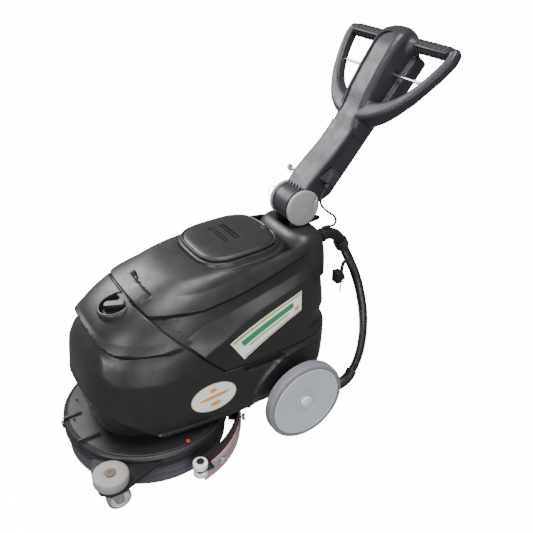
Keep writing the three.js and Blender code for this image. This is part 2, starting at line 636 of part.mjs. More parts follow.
function makeHandleControls() {
  const { height, depth, radius, reach } = switchBar;
  addPart('drive_switch_bar', join(cylinderX(radius, -reach, reach, -depth, height, 16),
    box(-20, 20, -depth - 3, 30, height - 2, height + 2)), 'steel', handle);
  const leverBlade = plateX([[-34, 64], [-16, 64], [-16, 78], [-24, 88], [-40, 92]], -62, -56);
  addPart('release_lever', join(box(-58, -41.8, -28, -16, 66, 72), leverBlade), 'paleGrey', handle);
  const gland = join(box(41.6, 58, 6, 32, 84, 122), cylinderZ(7, 76, 86, 50, 18, 16));
  addPart('cable_gland', gland, 'grip', handle);
}

// ---------------------------------------------------------------- hose, cable and hook

const hoseRoute = [[62, 209.3, 429.4], [63, 216.5, 416.5], [66, 229, 391], [71, 241.5, 363],
  [77.5, 252, 332], [85, 259, 301], [94, 263, 270], [103.5, 264, 240], [113, 262, 211],
  [122.5, 257, 184], [131.5, 249, 159], [140, 239, 136.5], [147, 227.5, 116], [152.5, 214, 97.5],
  [156, 198.5, 80.5]];

const cableRoute = [[50, 150.1, 606.3], [50, 145.4, 600.4], [50, 140, 592.8], [50, 136, 584.5],
  [50, 134.2, 575.5], [50, 135.5, 566.5], [50, 139.5, 558], [50, 145.5, 550.5], [50, 152.5, 543.5],
  [50, 160, 537.2], [50.5, 168, 531.2], [52, 176, 525], [54.5, 181.5, 517.5], [57, 182.2, 509],
  [59, 177.5, 502.2], [60, 170, 499.8], [60, 161.4, 500]];

function makeHose() {
  const bend = tubeAlong([[elbow.x, 114, elbow.z], [elbow.x, 140, elbow.z], [elbow.x, 160, elbow.z - 1],
    [elbow.x, 178, elbow.z - 8], [elbow.x, 190, elbow.z - 20], [elbow.x, 195, elbow.z - 28]],
  elbow.radius, 12, 10);
  const socket = cylinderY(5, 142, 160, 60, elbow.z + 18);
  addPart('hose_elbow', join(bend, socket), 'black');
  const cuff = turned([[0, 0], [19, 0], [19, 22], [16, 26], [0, 26]], 24);
  addPart('hose_cuff', cuff.rotateX(radians(-60)).translate(elbow.x, 195.4, elbow.z - 28.6), 'black');
  addPart('vacuum_hose', tubeAlong(hoseRoute, hoseRadius, 10, 18), 'black');
  const port = tubeAlong([[156.4, 197.8, 79.3], [158.2, 189.8, 70.5], [158, 170, 57], [156, 140, 50],
    [154, 96, 49]], hoseRadius + 2, 12, 8);
  addPart('hose_port', join(port, box(124, 168, 90, 98.5, 42, deck.top)), 'black');
  addPart('handle_cable', tubeAlong(cableRoute, cableRadius, 8, 24), 'black');
}

function makeCordHook() {
  const { x, z } = cordHook;
  addPart('hook_block', join(box(x - 12, x + 12, 138.6, 158, z - 12, z + 20), cylinderY(6, 156, 166, x, z)),
    'black');
  const boss = cylinderY(11, 158.5, 165, x, z);
  const arm = join(box(x - 4, x + 4, 158.5, 164, z + 8, z + 44), box(x - 4, x + 4, 160, 182, z + 38, z + 44));
  const rod = cylinderZ(2, z - 46, z - 8, x, 161.7, 10);
  addPart('cord_hook', cut(join(boss, arm, rod), cylinderY(6.5, 150, 170, x, z)), 'black');
}

// ---------------------------------------------------------------- assembly

makeSolutionTank();
makeFillerCap();
makeRecoveryTank();
makeLid();
makeFloat();
makeChassis();
makeWheel(1);
makeWheel(-1);
makeDeck();
makeCornerBracket();
makeBumper();
makeCaster();
makeBrush();
makeSqueegee();
makeHingeBase();
makeHandleArm();
makeHingeCaps();
makeHandleHead();
makeGrips();
makeHandleControls();
makeHose();
makeCordHook();

const cords = ['vacuum_hose', 'handle_cable'];
const bounds = new THREE.Box3();
machine.updateMatrixWorld(true);
for (const [name, mesh] of Object.entries(nodes)) {
  if (!cords.includes(name)) bounds.expandByObject(mesh, true);
}
machine.position.set(-(bounds.min.x + bounds.max.x) / 2, -(bounds.min.y + bounds.max.y) / 2, -bounds.min.z);

export default machine;
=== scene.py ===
from math import acos, cos, hypot, pi, radians, sin, sqrt, tan

import bmesh
import bpy
import numpy as np
from mathutils import Matrix, Vector
from mathutils.bvhtree import BVHTree


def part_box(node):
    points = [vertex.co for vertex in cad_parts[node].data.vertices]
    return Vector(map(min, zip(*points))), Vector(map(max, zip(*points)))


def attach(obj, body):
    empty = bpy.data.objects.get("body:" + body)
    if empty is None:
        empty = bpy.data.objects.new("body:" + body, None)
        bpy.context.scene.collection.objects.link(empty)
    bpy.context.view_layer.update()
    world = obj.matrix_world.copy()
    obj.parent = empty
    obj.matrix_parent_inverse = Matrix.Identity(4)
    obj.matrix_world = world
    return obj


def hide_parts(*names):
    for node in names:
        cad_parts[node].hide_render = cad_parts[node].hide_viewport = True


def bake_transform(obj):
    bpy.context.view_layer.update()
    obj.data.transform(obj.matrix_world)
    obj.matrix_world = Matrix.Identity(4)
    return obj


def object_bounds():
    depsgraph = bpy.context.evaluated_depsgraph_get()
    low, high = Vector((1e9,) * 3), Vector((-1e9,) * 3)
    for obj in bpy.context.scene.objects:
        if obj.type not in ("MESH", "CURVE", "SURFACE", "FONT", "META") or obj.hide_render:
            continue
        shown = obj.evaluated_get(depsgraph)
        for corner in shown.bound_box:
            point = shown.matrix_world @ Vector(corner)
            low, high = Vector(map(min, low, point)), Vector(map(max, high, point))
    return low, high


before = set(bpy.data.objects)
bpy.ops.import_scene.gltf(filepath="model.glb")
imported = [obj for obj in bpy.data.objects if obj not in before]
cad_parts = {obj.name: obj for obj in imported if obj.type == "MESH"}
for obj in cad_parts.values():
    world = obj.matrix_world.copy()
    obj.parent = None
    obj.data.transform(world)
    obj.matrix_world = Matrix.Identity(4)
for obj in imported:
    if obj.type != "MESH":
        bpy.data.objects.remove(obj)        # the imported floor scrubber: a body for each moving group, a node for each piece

cad_bounds = [list(corner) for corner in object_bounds()]


def middle(node):
    low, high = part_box(node)
    return (low + high) / 2 * 1000


# Places are in millimetres across (x, left positive), along (y, from the rear axle, front negative)
# and up (z, from the floor). The handle has its own frame, given further down.
AXLE = middle("rear_axle")
HINGE = middle("hinge_pin") - Vector((0, AXLE.y, 0))
DECK = middle("brush_bristles") - Vector((0, AXLE.y, 0))
BUMPER = middle("bumper_roller") - Vector((0, AXLE.y, 0))
LEAN = radians(39)
UP, ACROSS, REARWARD = (0, 0, 1), (1, 0, 0), (0, 1, 0)
SIDES = ((1, "left"), (-1, "right"))


def link(obj):
    bpy.context.scene.collection.objects.link(obj)
    return obj


def metres(points):
    """Points in millimetres from the rear axle's plane as an array of points in metres in the frame."""
    return (np.array(points, float).reshape(-1, 3) + (0, AXLE.y, 0)) / 1000


def on_handle(points):
    """Points of the handle's own frame (across, forward of its plane, up along the arm), in its place."""
    across, forward, along = np.array(points, float).reshape(-1, 3).T
    y = HINGE.y - forward * cos(LEAN) + along * sin(LEAN)
    z = HINGE.z + forward * sin(LEAN) + along * cos(LEAN)
    return np.stack([across, y, z], 1)


HINGE_MIDDLE = on_handle([(0, 0, 0)])[0]
DECK_FOOT = DECK.xy.to_3d()
BUMPER_FOOT = BUMPER.xy.to_3d()


# ---- materials


def new_material(name):
    material = bpy.data.materials.new(name)
    material.use_nodes = True
    tree = material.node_tree
    return material, tree, tree.nodes["Principled BSDF"]


def noise(tree, size, detail=4.0, roughness=0.6):
    """Noise in object space with features of about the given size in millimetres."""
    place = tree.nodes.get("Texture Coordinate") or tree.nodes.new("ShaderNodeTexCoord")
    node = tree.nodes.new("ShaderNodeTexNoise")
    node.inputs["Scale"].default_value = 1000 / size
    node.inputs["Detail"].default_value = detail
    node.inputs["Roughness"].default_value = roughness
    tree.links.new(place.outputs["Object"], node.inputs["Vector"])
    return node.outputs["Fac"]


def between(tree, value, low, high, start=0.3, end=0.7):
    node = tree.nodes.new("ShaderNodeMapRange")
    for socket, number in (("From Min", start), ("From Max", end), ("To Min", low), ("To Max", high)):
        node.inputs[socket].default_value = number
    tree.links.new(value, node.inputs["Value"])
    return node.outputs["Result"]


def mixed(tree, factor, first, second):
    node = tree.nodes.new("ShaderNodeMix")
    node.data_type = "RGBA"
    tree.links.new(factor, node.inputs["Factor"])
    for socket, colour in ((node.inputs["A"], first), (node.inputs["B"], second)):
        if isinstance(colour, tuple):
            socket.default_value = (*colour, 1)
        else:
            tree.links.new(colour, socket)
    return node.outputs["Result"]


def bumps(tree, shader, layers):
    """Stacked bump layers, each a (value, height in millimetres) pair."""
    normal = None
    for value, height in layers:
        node = tree.nodes.new("ShaderNodeBump")
        node.inputs["Strength"].default_value = 1.0
        node.inputs["Distance"].default_value = height / 1000
        tree.links.new(value, node.inputs["Height"])
        if normal:
            tree.links.new(normal, node.inputs["Normal"])
        normal = node.outputs["Normal"]
    tree.links.new(normal, shader.inputs["Normal"])


def edge_mask(tree):
    """1 on sharp outer edges and 0 elsewhere."""
    geometry = tree.nodes.new("ShaderNodeNewGeometry")
    return between(tree, geometry.outputs["Pointiness"], 0.0, 1.0, 0.52, 0.62)


def shaded(name, colour, roughness, grain, patch=0.12, wear=0.25, metallic=0.0, gloss=0.5, soft=0.0):
    """A worn, moulded or cast surface: fine grain, slow patches of tone and gloss, paler rubbed edges."""
    material, tree, shader = new_material(name)
    shader.inputs["Metallic"].default_value = metallic
    shader.inputs["Specular IOR Level"].default_value = gloss
    shader.inputs["Subsurface Weight"].default_value = soft
    dark = tuple(c * (1 - patch) for c in colour)
    light = tuple(min(1, c * (1 + patch)) for c in colour)
    rubbed = tuple(min(1, c * 1.5 + 0.02) for c in colour)
    tone = mixed(tree, noise(tree, 60), dark, light)
    mask = between(tree, edge_mask(tree), 0.0, wear, 0.0, 1.0)
    tree.links.new(mixed(tree, mask, tone, rubbed), shader.inputs["Base Color"])
    tree.links.new(between(tree, noise(tree, 25), roughness * 0.85, roughness * 1.15),
        shader.inputs["Roughness"])
    size, height = grain
    bumps(tree, shader, [(noise(tree, 30, 2.0), height * 3), (noise(tree, size), height)])
    return material


looks = {
    "tank": shaded("tank_black", (0.012, 0.012, 0.013), 0.41, (0.8, 0.05)),
    "lid": shaded("lid_black", (0.014, 0.014, 0.015), 0.4, (0.8, 0.05), gloss=0.45),
    "black": shaded("trim_black", (0.008, 0.008, 0.009), 0.45, (0.8, 0.04), gloss=0.4),
    "deck": shaded("deck_black", (0.012, 0.012, 0.014), 0.42, (1.2, 0.05)),
    "skirt": shaded("skirt_grey", (0.075, 0.07, 0.09), 0.55, (2.0, 0.06), gloss=0.35),
    "handle": shaded("handle_grey", (0.025, 0.025, 0.031), 0.42, (0.7, 0.05), metallic=0.15),
    "grip": shaded("grip_rubber", (0.022, 0.022, 0.026), 0.62, (0.6, 0.08), gloss=0.35),
    "cap": shaded("cap_grey", (0.27, 0.275, 0.29), 0.42, (0.8, 0.04), metallic=0.1),
    "hub": shaded("hub_grey", (0.48, 0.52, 0.56), 0.38, (0.9, 0.03), patch=0.04),
    "hub_cap": shaded("hub_cap_grey", (0.62, 0.66, 0.7), 0.3, (0.9, 0.02), patch=0.03),
    "tyre": shaded("tyre_rubber", (0.2, 0.195, 0.225), 0.7, (0.7, 0.08), patch=0.08, gloss=0.3),
    "bumper": shaded("bumper_grey", (0.27, 0.265, 0.25), 0.6, (0.8, 0.07), patch=0.08, gloss=0.35),
    "white": shaded("roller_white", (0.8, 0.8, 0.8), 0.35, (0.8, 0.03), patch=0.03),
    "steel": shaded("bright_steel", (0.6, 0.6, 0.61), 0.28, (0.5, 0.02), metallic=1.0),
    "zinc": shaded("zinc_strip", (0.48, 0.46, 0.46), 0.45, (3.0, 0.03), metallic=0.6),
    "rust": shaded("bolt_brown", (0.16, 0.11, 0.07), 0.6, (1.0, 0.08), metallic=0.4),
    "motor": shaded("motor_paint", (0.05, 0.055, 0.06), 0.4, (1.2, 0.04), metallic=0.3),
    "bristle": shaded("bristle_grey", (0.03, 0.03, 0.04), 0.6, (0.4, 0.1)),
    "red": shaded("knob_red", (0.55, 0.01, 0.02), 0.3, (1.0, 0.02)),
    "hose": shaded("hose_black", (0.006, 0.006, 0.0065), 0.3, (0.6, 0.02), gloss=0.6),
    "cable": shaded("cable_black", (0.008, 0.0075, 0.007), 0.45, (0.5, 0.03)),
    "blade": shaded("blade_pink", (0.6, 0.3, 0.31), 0.4, (1.0, 0.03), soft=0.3),
}
for name, colour, patch in (
        ("white", (0.82, 0.82, 0.8), 0.02), ("olive", (0.32, 0.36, 0.07), 0.05),
        ("khaki", (0.42, 0.4, 0.2), 0.05), ("green", (0.03, 0.22, 0.1), 0.05),
        ("orange", (0.75, 0.3, 0.08), 0.05)):
    looks[f"label_{name}"] = shaded(f"label_{name}", colour, 0.35, (0.5, 0.01), patch, wear=0.0)


# ---- mesh helpers


def piece(name, mesh, look, body, slot, *replaced, sharp=35):
    """Puts a finished mesh in the scene as one piece: smooth with sharp corners, riding on its body."""
    for polygon in mesh.polygons:
        polygon.use_smooth = True
    mesh.set_sharp_from_angle(angle=radians(sharp))
    mesh.materials.clear()
    mesh.materials.append(looks[look])
    obj = link(bpy.data.objects.new(name, mesh))
    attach(obj, body)
    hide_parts(*replaced)
    return obj


def mesh_of(points, faces):
    mesh = bpy.data.meshes.new("shape")
    mesh.from_pydata(metres(points).tolist(), [], faces)
    bm = bmesh.new()
    bm.from_mesh(mesh)
    bmesh.ops.remove_doubles(bm, verts=bm.verts, dist=1e-6)
    bmesh.ops.recalc_face_normals(bm, faces=bm.faces)
    bm.to_mesh(mesh)
    bm.free()
    return mesh


def skin(rows, closed=True, ends=True, ring=False):
    """A skin over rows of points. Rows are loops when closed, and the first and last get flat ends."""
    rows = np.array(rows, float)
    count, width = rows.shape[:2]
    faces = []
    for r in range(count if ring else count - 1):
        below, above = r * width, (r + 1) % count * width
        for i in range(width if closed else width - 1):
            j = (i + 1) % width
            faces.append((below + i, below + j, above + j, above + i))
    if ends and closed and not ring:
        faces += [tuple(range(width))[::-1], tuple(range((count - 1) * width, count * width))]
    return mesh_of(rows.reshape(-1, 3), faces)


def turned(profile, place, axis=UP, steps=64, ring=True):
    """A closed profile of (radius, height) pairs turned about an axis through a place."""
    axis = Vector(axis).normalized()
    side = axis.orthogonal().normalized() if abs(axis.z) < 0.9 else Vector((1, 0, 0))
    other = axis.cross(side)
    angles = np.linspace(0, 2 * pi, steps, endpoint=False)
    rows = [[Vector(place) + (side * cos(a) + other * sin(a)) * r + axis * h
        for r, h in profile] for a in angles]
    return skin(rows, closed=ring, ring=True)


def solid_turned(profile, place, axis=UP, steps=64):
    """A solid of revolution, its profile closed to the axis at both ends."""
    profile = [(0, profile[0][1]), *profile, (0, profile[-1][1])]
    return turned(profile, place, axis, steps, ring=False)


def rod(radius, start, end, place, axis=UP, steps=64):
    """A plain round rod from start to end along an axis through a place."""
    return solid_turned([(radius, start), (radius, end)], place, axis, steps)


def swept(path, section, scale=None, up=UP):
    """A section of (across, upward) pairs carried along a path of points."""
    path = [Vector(p) for p in path]
    rows = []
    for i, point in enumerate(path):
        ahead = (path[min(i + 1, len(path) - 1)] - path[max(i - 1, 0)]).normalized()
        across = ahead.cross(Vector(up)).normalized()
        upward = across.cross(ahead)
        size = 1 if scale is None else scale[i]
        rows.append([point + across * (a * size) + upward * (b * size) for a, b in section])
    return skin(rows)


def curve(points, count):
    """A smooth line through given points, as evenly spaced points."""
    points = np.array(points, float)
    padded = np.vstack([2 * points[0] - points[1], points, 2 * points[-1] - points[-2]])
    fine = []
    for a, b, c, d in zip(padded, padded[1:], padded[2:], padded[3:]):
        knots = np.cumsum([0] + [max(np.linalg.norm(q - p), 1e-6) ** 0.5
            for p, q in ((a, b), (b, c), (c, d))])
        for t in np.linspace(knots[1], knots[2], 24, endpoint=False):
            fine.append(catmull((a, b, c, d), knots, t))
    fine.append(points[-1])
    fine = np.array(fine)
    length = np.concatenate([[0], np.cumsum(np.linalg.norm(np.diff(fine, axis=0), axis=1))])
    even = np.linspace(0, length[-1], count)
    return np.stack([np.interp(even, length, fine[:, k]) for k in range(points.shape[1])], 1)


def catmull(corners, knots, t):
    """One point of a centripetal Catmull-Rom curve between its second and third corners."""
    def mix(first, second, start, end):
        return ((end - t) * first + (t - start) * second) / (end - start)
    a, b, c = (mix(corners[i], corners[i + 1], knots[i], knots[i + 1]) for i in range(3))
    return mix(mix(a, b, knots[0], knots[2]), mix(b, c, knots[1], knots[3]), knots[1], knots[2])


def circle(radius, sides):
    angles = np.linspace(0, 2 * pi, sides, endpoint=False)
    return np.stack([radius * np.cos(angles), radius * np.sin(angles)], 1)


def tube(route, radius, steps, sides, up=ACROSS):
    """A round bar along a smooth line through a few points."""
    return swept(curve(route, steps), circle(radius, sides), up=up)


def rounded_outline(corners, radius, steps=5):
    """A polygon's outline with each corner rounded to a radius."""
    out = []
    count = len(corners)
    for i in range(count):
        before, here, after = (np.array(corners[(i + k) % count], float) for k in (-1, 0, 1))
        into, away = here - before, after - here
        into, away = into / np.linalg.norm(into), away / np.linalg.norm(away)
        turn = acos(max(-1, min(1, float(into @ away))))
        reach = radius * tan(turn / 2)
        for t in np.linspace(0, 1, steps):
            start, end = here - into * reach, here + away * reach
            out.append((1 - t) ** 2 * start + 2 * t * (1 - t) * here + t * t * end)
    return np.array(out)


def slab(outline, z0, z1, edge=1.5, to=lambda points: points):
    """A plate with rounded edges over an outline, between two heights; `to` puts its points in place."""
    outline = np.array(outline, float)
    centre = outline.mean(0)
    size = np.linalg.norm(outline - centre, axis=1, keepdims=True)
    rows = []
    for z, inset in ((z0, edge), (z0 + edge, 0), (z1 - edge, 0), (z1, edge)):
        shrunk = outline - (outline - centre) / size * inset
        rows.append(to(np.column_stack([shrunk, np.full(len(outline), z)])))
    return skin(rows)


def on_edge(points):
    """A plate's points stood on edge: its outline is in (y, z) and its thickness runs across."""
    return points[:, [2, 0, 1]]


def block(low, high, edge=1.5, to=lambda points: points):
    """A box with bevelled edges between two corners."""
    mesh = bpy.data.meshes.new("block")
    bm = bmesh.new()
    low, high = np.array(low, float), np.array(high, float)
    bmesh.ops.create_cube(bm, size=1.0)
    for vertex in bm.verts:
        vertex.co = Vector((np.array(vertex.co) + 0.5) * (high - low) + low)
    bmesh.ops.bevel(bm, geom=list(bm.edges), offset=edge, segments=3, affect="EDGES", profile=0.5)
    for vertex in bm.verts:
        vertex.co = Vector(metres(to(np.array([vertex.co])))[0])
    bm.to_mesh(mesh)
    bm.free()
    return mesh


def joined(*meshes):
    """Several meshes as one."""
    bm = bmesh.new()
    for mesh in meshes:
        bm.from_mesh(mesh)
    out = bpy.data.meshes.new("joined")
    bm.to_mesh(out)
    bm.free()
    return out


def worked(mesh, *modifiers):
    """The mesh after a list of modifiers, each a (type, settings) pair."""
    obj = link(bpy.data.objects.new("work", mesh))
    for kind, settings in modifiers:
        modifier = obj.modifiers.new(kind.lower(), kind)
        for key, value in settings.items():
            setattr(modifier, key, value)
    bpy.context.view_layer.update()
    graph = bpy.context.evaluated_depsgraph_get()
    out = bpy.data.meshes.new_from_object(obj.evaluated_get(graph))
    bpy.data.objects.remove(obj)
    return out


def carved(mesh, *cutters):
    """The mesh with closed cutters taken away from it."""
    for cutter in cutters:
        obj = link(bpy.data.objects.new("cutter", cutter))
        mesh = worked(mesh, ("BOOLEAN", {"object": obj, "operation": "DIFFERENCE", "solver": "MANIFOLD"}))
        bpy.data.objects.remove(obj)
    return mesh


def melted(mesh, voxel, rounds):
    """Overlapping closed shapes grown together as one moulding with soft inner corners."""
    return worked(mesh, ("REMESH", {"mode": "VOXEL", "voxel_size": voxel / 1000}),
        ("SMOOTH", {"factor": 0.5, "iterations": rounds}))


# ---- camera, lights and floor


def make_camera():
    data = bpy.data.cameras.new("camera")
    data.sensor_width = 36
    data.lens = 45.56
    camera = link(bpy.data.objects.new("camera", data))
    right = Vector((0.5222, 0.8530, 0.0205)).normalized()
    back = Vector((0.7370, -0.4630, 0.4926))
    back = (back - right * back.dot(right)).normalized()
    turn = Matrix((right, back.cross(right), back)).transposed().to_4x4()
    camera.matrix_world = Matrix.Translation((1.29587, -0.74009, 1.25964)) @ turn
    bpy.context.scene.camera = camera


def area_light(name, place, target, size, power):
    data = bpy.data.lights.new(name, "AREA")
    data.size = size
    data.energy = power
    light = link(bpy.data.objects.new(name, data))
    light.location = place
    light.rotation_euler = (Vector(target) - light.location).to_track_quat("-Z", "Y").to_euler()


def make_stage():
    world = bpy.data.worlds.new("studio")
    world.use_nodes = True
    background = world.node_tree.nodes["Background"]
    background.inputs["Color"].default_value = (1, 1, 1, 1)
    background.inputs["Strength"].default_value = 0.3
    bpy.context.scene.world = world
    bpy.ops.mesh.primitive_plane_add(size=60, location=(0, 0, cad_bounds[0][2]))
    floor = bpy.context.object
    floor.name = "floor"
    floor.visible_diffuse = False
    floor.visible_glossy = False
    material, tree, shader = new_material("floor_white")
    shader.inputs["Roughness"].default_value = 0.6
    shader.inputs["Emission Color"].default_value = (1, 1, 1, 1)
    shader.inputs["Emission Strength"].default_value = 14.0
    tree.links.new(mixed(tree, noise(tree, 400), (0.93, 0.93, 0.93), (0.95, 0.95, 0.95)),
        shader.inputs["Base Color"])
    floor.data.materials.append(material)
    area_light("key", (-1.9, -0.9, 1.9), (0, -0.15, 0.4), 1.2, 75)
    area_light("top", (0.5, -0.2, 2.9), (0, 0, 0.3), 1.4, 85)
    area_light("front", (1.0, -2.2, 1.3), (0, -0.2, 0.3), 0.9, 32)
    area_light("side", (2.3, -0.5, 0.75), (0, 0, 0.3), 1.1, 26)


# ---- hose and cable

HOSE_ROUTE = [(62, 209.3, 429.4), (63, 216.5, 416.5), (66, 229, 391), (71, 241.5, 363), (77.5, 252, 332),
    (85, 259, 301), (94, 263, 270), (103.5, 264, 240), (113, 262, 211), (122.5, 257, 184),
    (131.5, 249, 159), (140, 239, 136.5), (147, 227.5, 116), (152.5, 214, 97.5), (156, 198.5, 80.5)]
CABLE_ROUTE = [(50, 150.1, 606.3), (50, 145.4, 600.4), (50, 140, 592.8), (50, 136, 584.5),
    (50, 134.2, 575.5), (50, 135.5, 566.5), (50, 139.5, 558), (50, 145.5, 550.5), (50, 152.5, 543.5),
    (50, 160, 537.2), (50.5, 168, 531.2), (52, 176, 525), (54.5, 181.5, 517.5), (57, 182.2, 509),
    (59, 177.5, 502.2), (60, 170, 499.8), (60, 161.4, 500)]


def length_of(points):
    return float(np.linalg.norm(np.diff(points, axis=0), axis=1).sum())


def make_hose():
    """The corrugated suction hose, from the elbow's cuff down to the squeegee's port."""
    diameter, pitch, depth = 26.0, 5.4, 2.4
    length = length_of(curve(HOSE_ROUTE, 200))
    steps = int(length / pitch) * 6
    path = curve(HOSE_ROUTE, steps + 1)
    waves = np.cos(np.linspace(0, 2 * pi * int(length / pitch), steps + 1))
    scale = 1 - depth / diameter * (1 - np.clip(waves * 1.6, -1, 1))
    mesh = swept(path, circle(diameter / 2, 28), scale, up=(1, 0.01, 0))
    hose = piece("suction_hose", mesh, "hose", "chassis", "hose_plastic", "vacuum_hose", sharp=60)
    metres(curve(HOSE_ROUTE, 90))


def make_cable():
    """The drive switch's cable, from the gland on the arm to its socket above the elbow."""
    diameter = 6.0
    path = curve(CABLE_ROUTE, 90)
    mesh = swept(path, circle(diameter / 2, 16), up=(1, 0.01, 0))
    for polygon in mesh.polygons:
        polygon.use_smooth = True
    mesh.materials.append(looks["cable"])
    cable = link(bpy.data.objects.new("switch_cable", mesh))
    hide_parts("handle_cable")
    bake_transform(cable)


make_camera()
make_stage()
make_hose()
make_cable()


# ---- body shell

BODY = np.array([
    # height, half width, front, rear, squareness
    (114, 172, -500, 122, 3.2), (150, 184, -510, 134, 3.2), (220, 186, -512, 140, 3.2),
    (300, 184, -506, 140, 3.1), (350, 178, -494, 139, 3.0), (390, 166, -468, 138, 2.9),
    (425, 152, -424, 136, 2.9), (455, 138, -366, 134, 2.9), (479, 124, -300, 130, 3.0),
    (489, 114, -240, 126, 3.2), (491, 106, -218, 118, 3.4)], float)
EVENING = 40          # makes a change of squareness count like a length while the rows are spaced
SEAM_Y, SEAM_Z, SEAM_SLOPE = -212, 262, 1.06
ARCH = 137            # the radius of the wheel arch's lip
LINER_MIDDLE = -186   # the body shrinks towards this y to give the wall inside the seam


def superellipse(half_width, front, rear, squareness, count):
    """The x and the y of each point of a rounded-square outline."""
    angle = np.linspace(0, 2 * pi, count, endpoint=False)
    c, s = np.cos(angle), np.sin(angle)
    reach = (np.abs(c) ** squareness + np.abs(s) ** squareness) ** (-1 / squareness)
    return half_width * reach * c, (front + rear) / 2 + (rear - front) / 2 * reach * s


def body_rows(count_up=190, count_round=360):
    levels = curve(BODY * (1, 1, 1, 1, EVENING), count_up)
    rows = []
    for z, half_width, front, rear, squareness in levels:
        x, y = superellipse(half_width, front, rear, squareness / EVENING, count_round)
        rows.append(np.stack([x, y, np.full_like(x, z)], 1))
    return np.array(rows)


def seam_distance(y, z):
    """How far a point is above the line where the recovery tank meets the solution tank."""
    slope = hypot(1, SEAM_SLOPE)
    return np.minimum(z - SEAM_Z, (z - SEAM_Z + SEAM_SLOPE * (y - SEAM_Y)) / slope)


def height_over_seam(face):
    centre = face.calc_center_median() * 1000
    return seam_distance(centre.y - AXLE.y, centre.z)


def smooth(value, start, end):
    """0 before the start and 1 past the end, with an even ease between them."""
    t = np.clip((value - start) / (end - start), 0, 1)
    return t * t * (3 - 2 * t)


def shoulder_folds(y, z):
    """Two long folds along the recovery tank's side, each a ridge with a hollow under it."""
    first = np.interp(y, [-330, -246, -154, -89, -18, 60], [428, 427, 438, 451, 466, 478])
    hollow = np.interp(y, [-330, -291, -254, -162, -64, 7, 105], [352, 371, 388, 408, 426, 436, 444])
    panel = np.interp(y, [-290, -260, -217, -170, -103, -33, 60], [300, 327, 348, 371, 392, 408, 424])
    fade = smooth(y, 90, -10) * smooth(y, -420, -330)
    top = first + np.interp(y, [-330, -99, 60], [30, 34, 20])
    depth = np.zeros_like(z)
    for i in range(len(z)):
        places = [panel[i] - 60, panel[i], hollow[i], first[i] - 6, first[i], top[i]]
        depth[i] = np.interp(z[i], places, [0, 6.5, -11, -8, 6, 0])
    return depth * fade


def nose_ledge(y, z):
    """The brow round the nose: a lip with a hollow under it that swells out into the lower body."""
    line = np.interp(y, [-480, -472, -456, -405, -352, -300], [380, 368, 359, 356, 356, 362])
    depth = np.array([np.interp(h, [b - 76, b - 36, b - 11, b, b + 20], [0, -8, -15, 4, 0])
        for h, b in zip(z, line)])
    return depth * smooth(y, -290, -400)


def apron_step(y, z):
    """Below the belt line the front of the body steps back, and the line runs down the side to the rim."""
    line = np.interp(y, [-512, -505, -487, -453, -424, -379, -340], [219, 214, 200, 176, 154, 120, 92])
    return 2 * smooth(z, line + 28, line + 6) - 17 * smooth(z, line + 5, line - 16)


def rim_groove(y, z):
    """The groove above the bottom rim along each side."""
    near = smooth(y, -400, -370) * smooth(y, -140, -150)
    return (-6 * smooth(z, 133, 129) + 7 * smooth(z, 125, 121)) * near


def rear_folds(y, z):
    """Shallow steps that run diagonally round the rear corners."""
    rise = smooth(y, -60, 90)
    high = 338 - 30 * rise
    low = 284 - 6 * rise
    return rise * (-6.5 * smooth(z, high + 14, high) + 6.5 * smooth(z, high - 26,
        high - 42) - 6 * smooth(z, low + 10, low) + 9 * smooth(z, low - 8, low - 14))


def arch_depth(x, y, z):
    """How far the wheel arch takes the body's side inwards."""
    radius = np.hypot(y, z - AXLE.z)
    return (6 * smooth(radius, ARCH + 9, ARCH + 3) - 6 * smooth(radius, ARCH + 1,
        ARCH - 3) - 4 * smooth(radius, ARCH - 4, 112)) * smooth(np.abs(x), 140, 165)


def seam_rounding(distance, radius=4.0, gap=1.0):
    """The tanks' edges are rounded where they meet."""
    t = np.clip((np.abs(distance) - gap) / radius, 0, 1)
    return -radius * (1 - np.sqrt(1 - (1 - t) ** 2))


def relief(points):
    x, y, z = points.T
    distance = seam_distance(y, z)
    upper = distance > 0
    depth = np.where(upper, shoulder_folds(y, z), nose_ledge(y, z) + apron_step(y, z) + rim_groove(y, z))
    depth = depth + np.where(np.abs(x) > 60, rear_folds(y, z), 0)
    depth = depth + np.where(upper, front_tongue(x, y, distance), hand_slot(x, y, z))
    return depth + seam_rounding(distance)


def front_tongue(x, y, distance):
    """The raised tongue at the front of the recovery tank, with a finger groove along its top."""
    tongue = 11 * smooth(np.abs(x - 30), 54, 47) * smooth(distance, 40, 35)
    groove = 9 * smooth(np.abs(distance - 42) + 0.2 * (x + 24), 9, 4) * smooth(x, -30, -24)
    return (tongue - groove) * smooth(y, -250, -290)


def hand_slot(x, y, z):
    """The finger recess under the seam on each side."""
    inside = smooth(y, -162, -150) * smooth(y + z, 203, 192) * smooth(z, 236, 243)
    return -16 * inside * (np.abs(x) > 120)


def seam_liner():
    """A dark wall just inside the seam, so nothing shows through it."""
    rows = body_rows(90, 180) * (0.955, 1, 1)
    rows[:, :, 1] = (rows[:, :, 1] - LINER_MIDDLE) * 0.97 + LINER_MIDDLE
    liner = skin(rows, ends=False)
    bm = bmesh.new()
    bm.from_mesh(liner)
    far = [face for face in bm.faces if abs(height_over_seam(face)) > 16]
    bmesh.ops.delete(bm, geom=far, context="FACES")
    bm.to_mesh(liner)
    bm.free()
    return worked(liner, ("SOLIDIFY", {"thickness": 0.002, "offset": -1}))


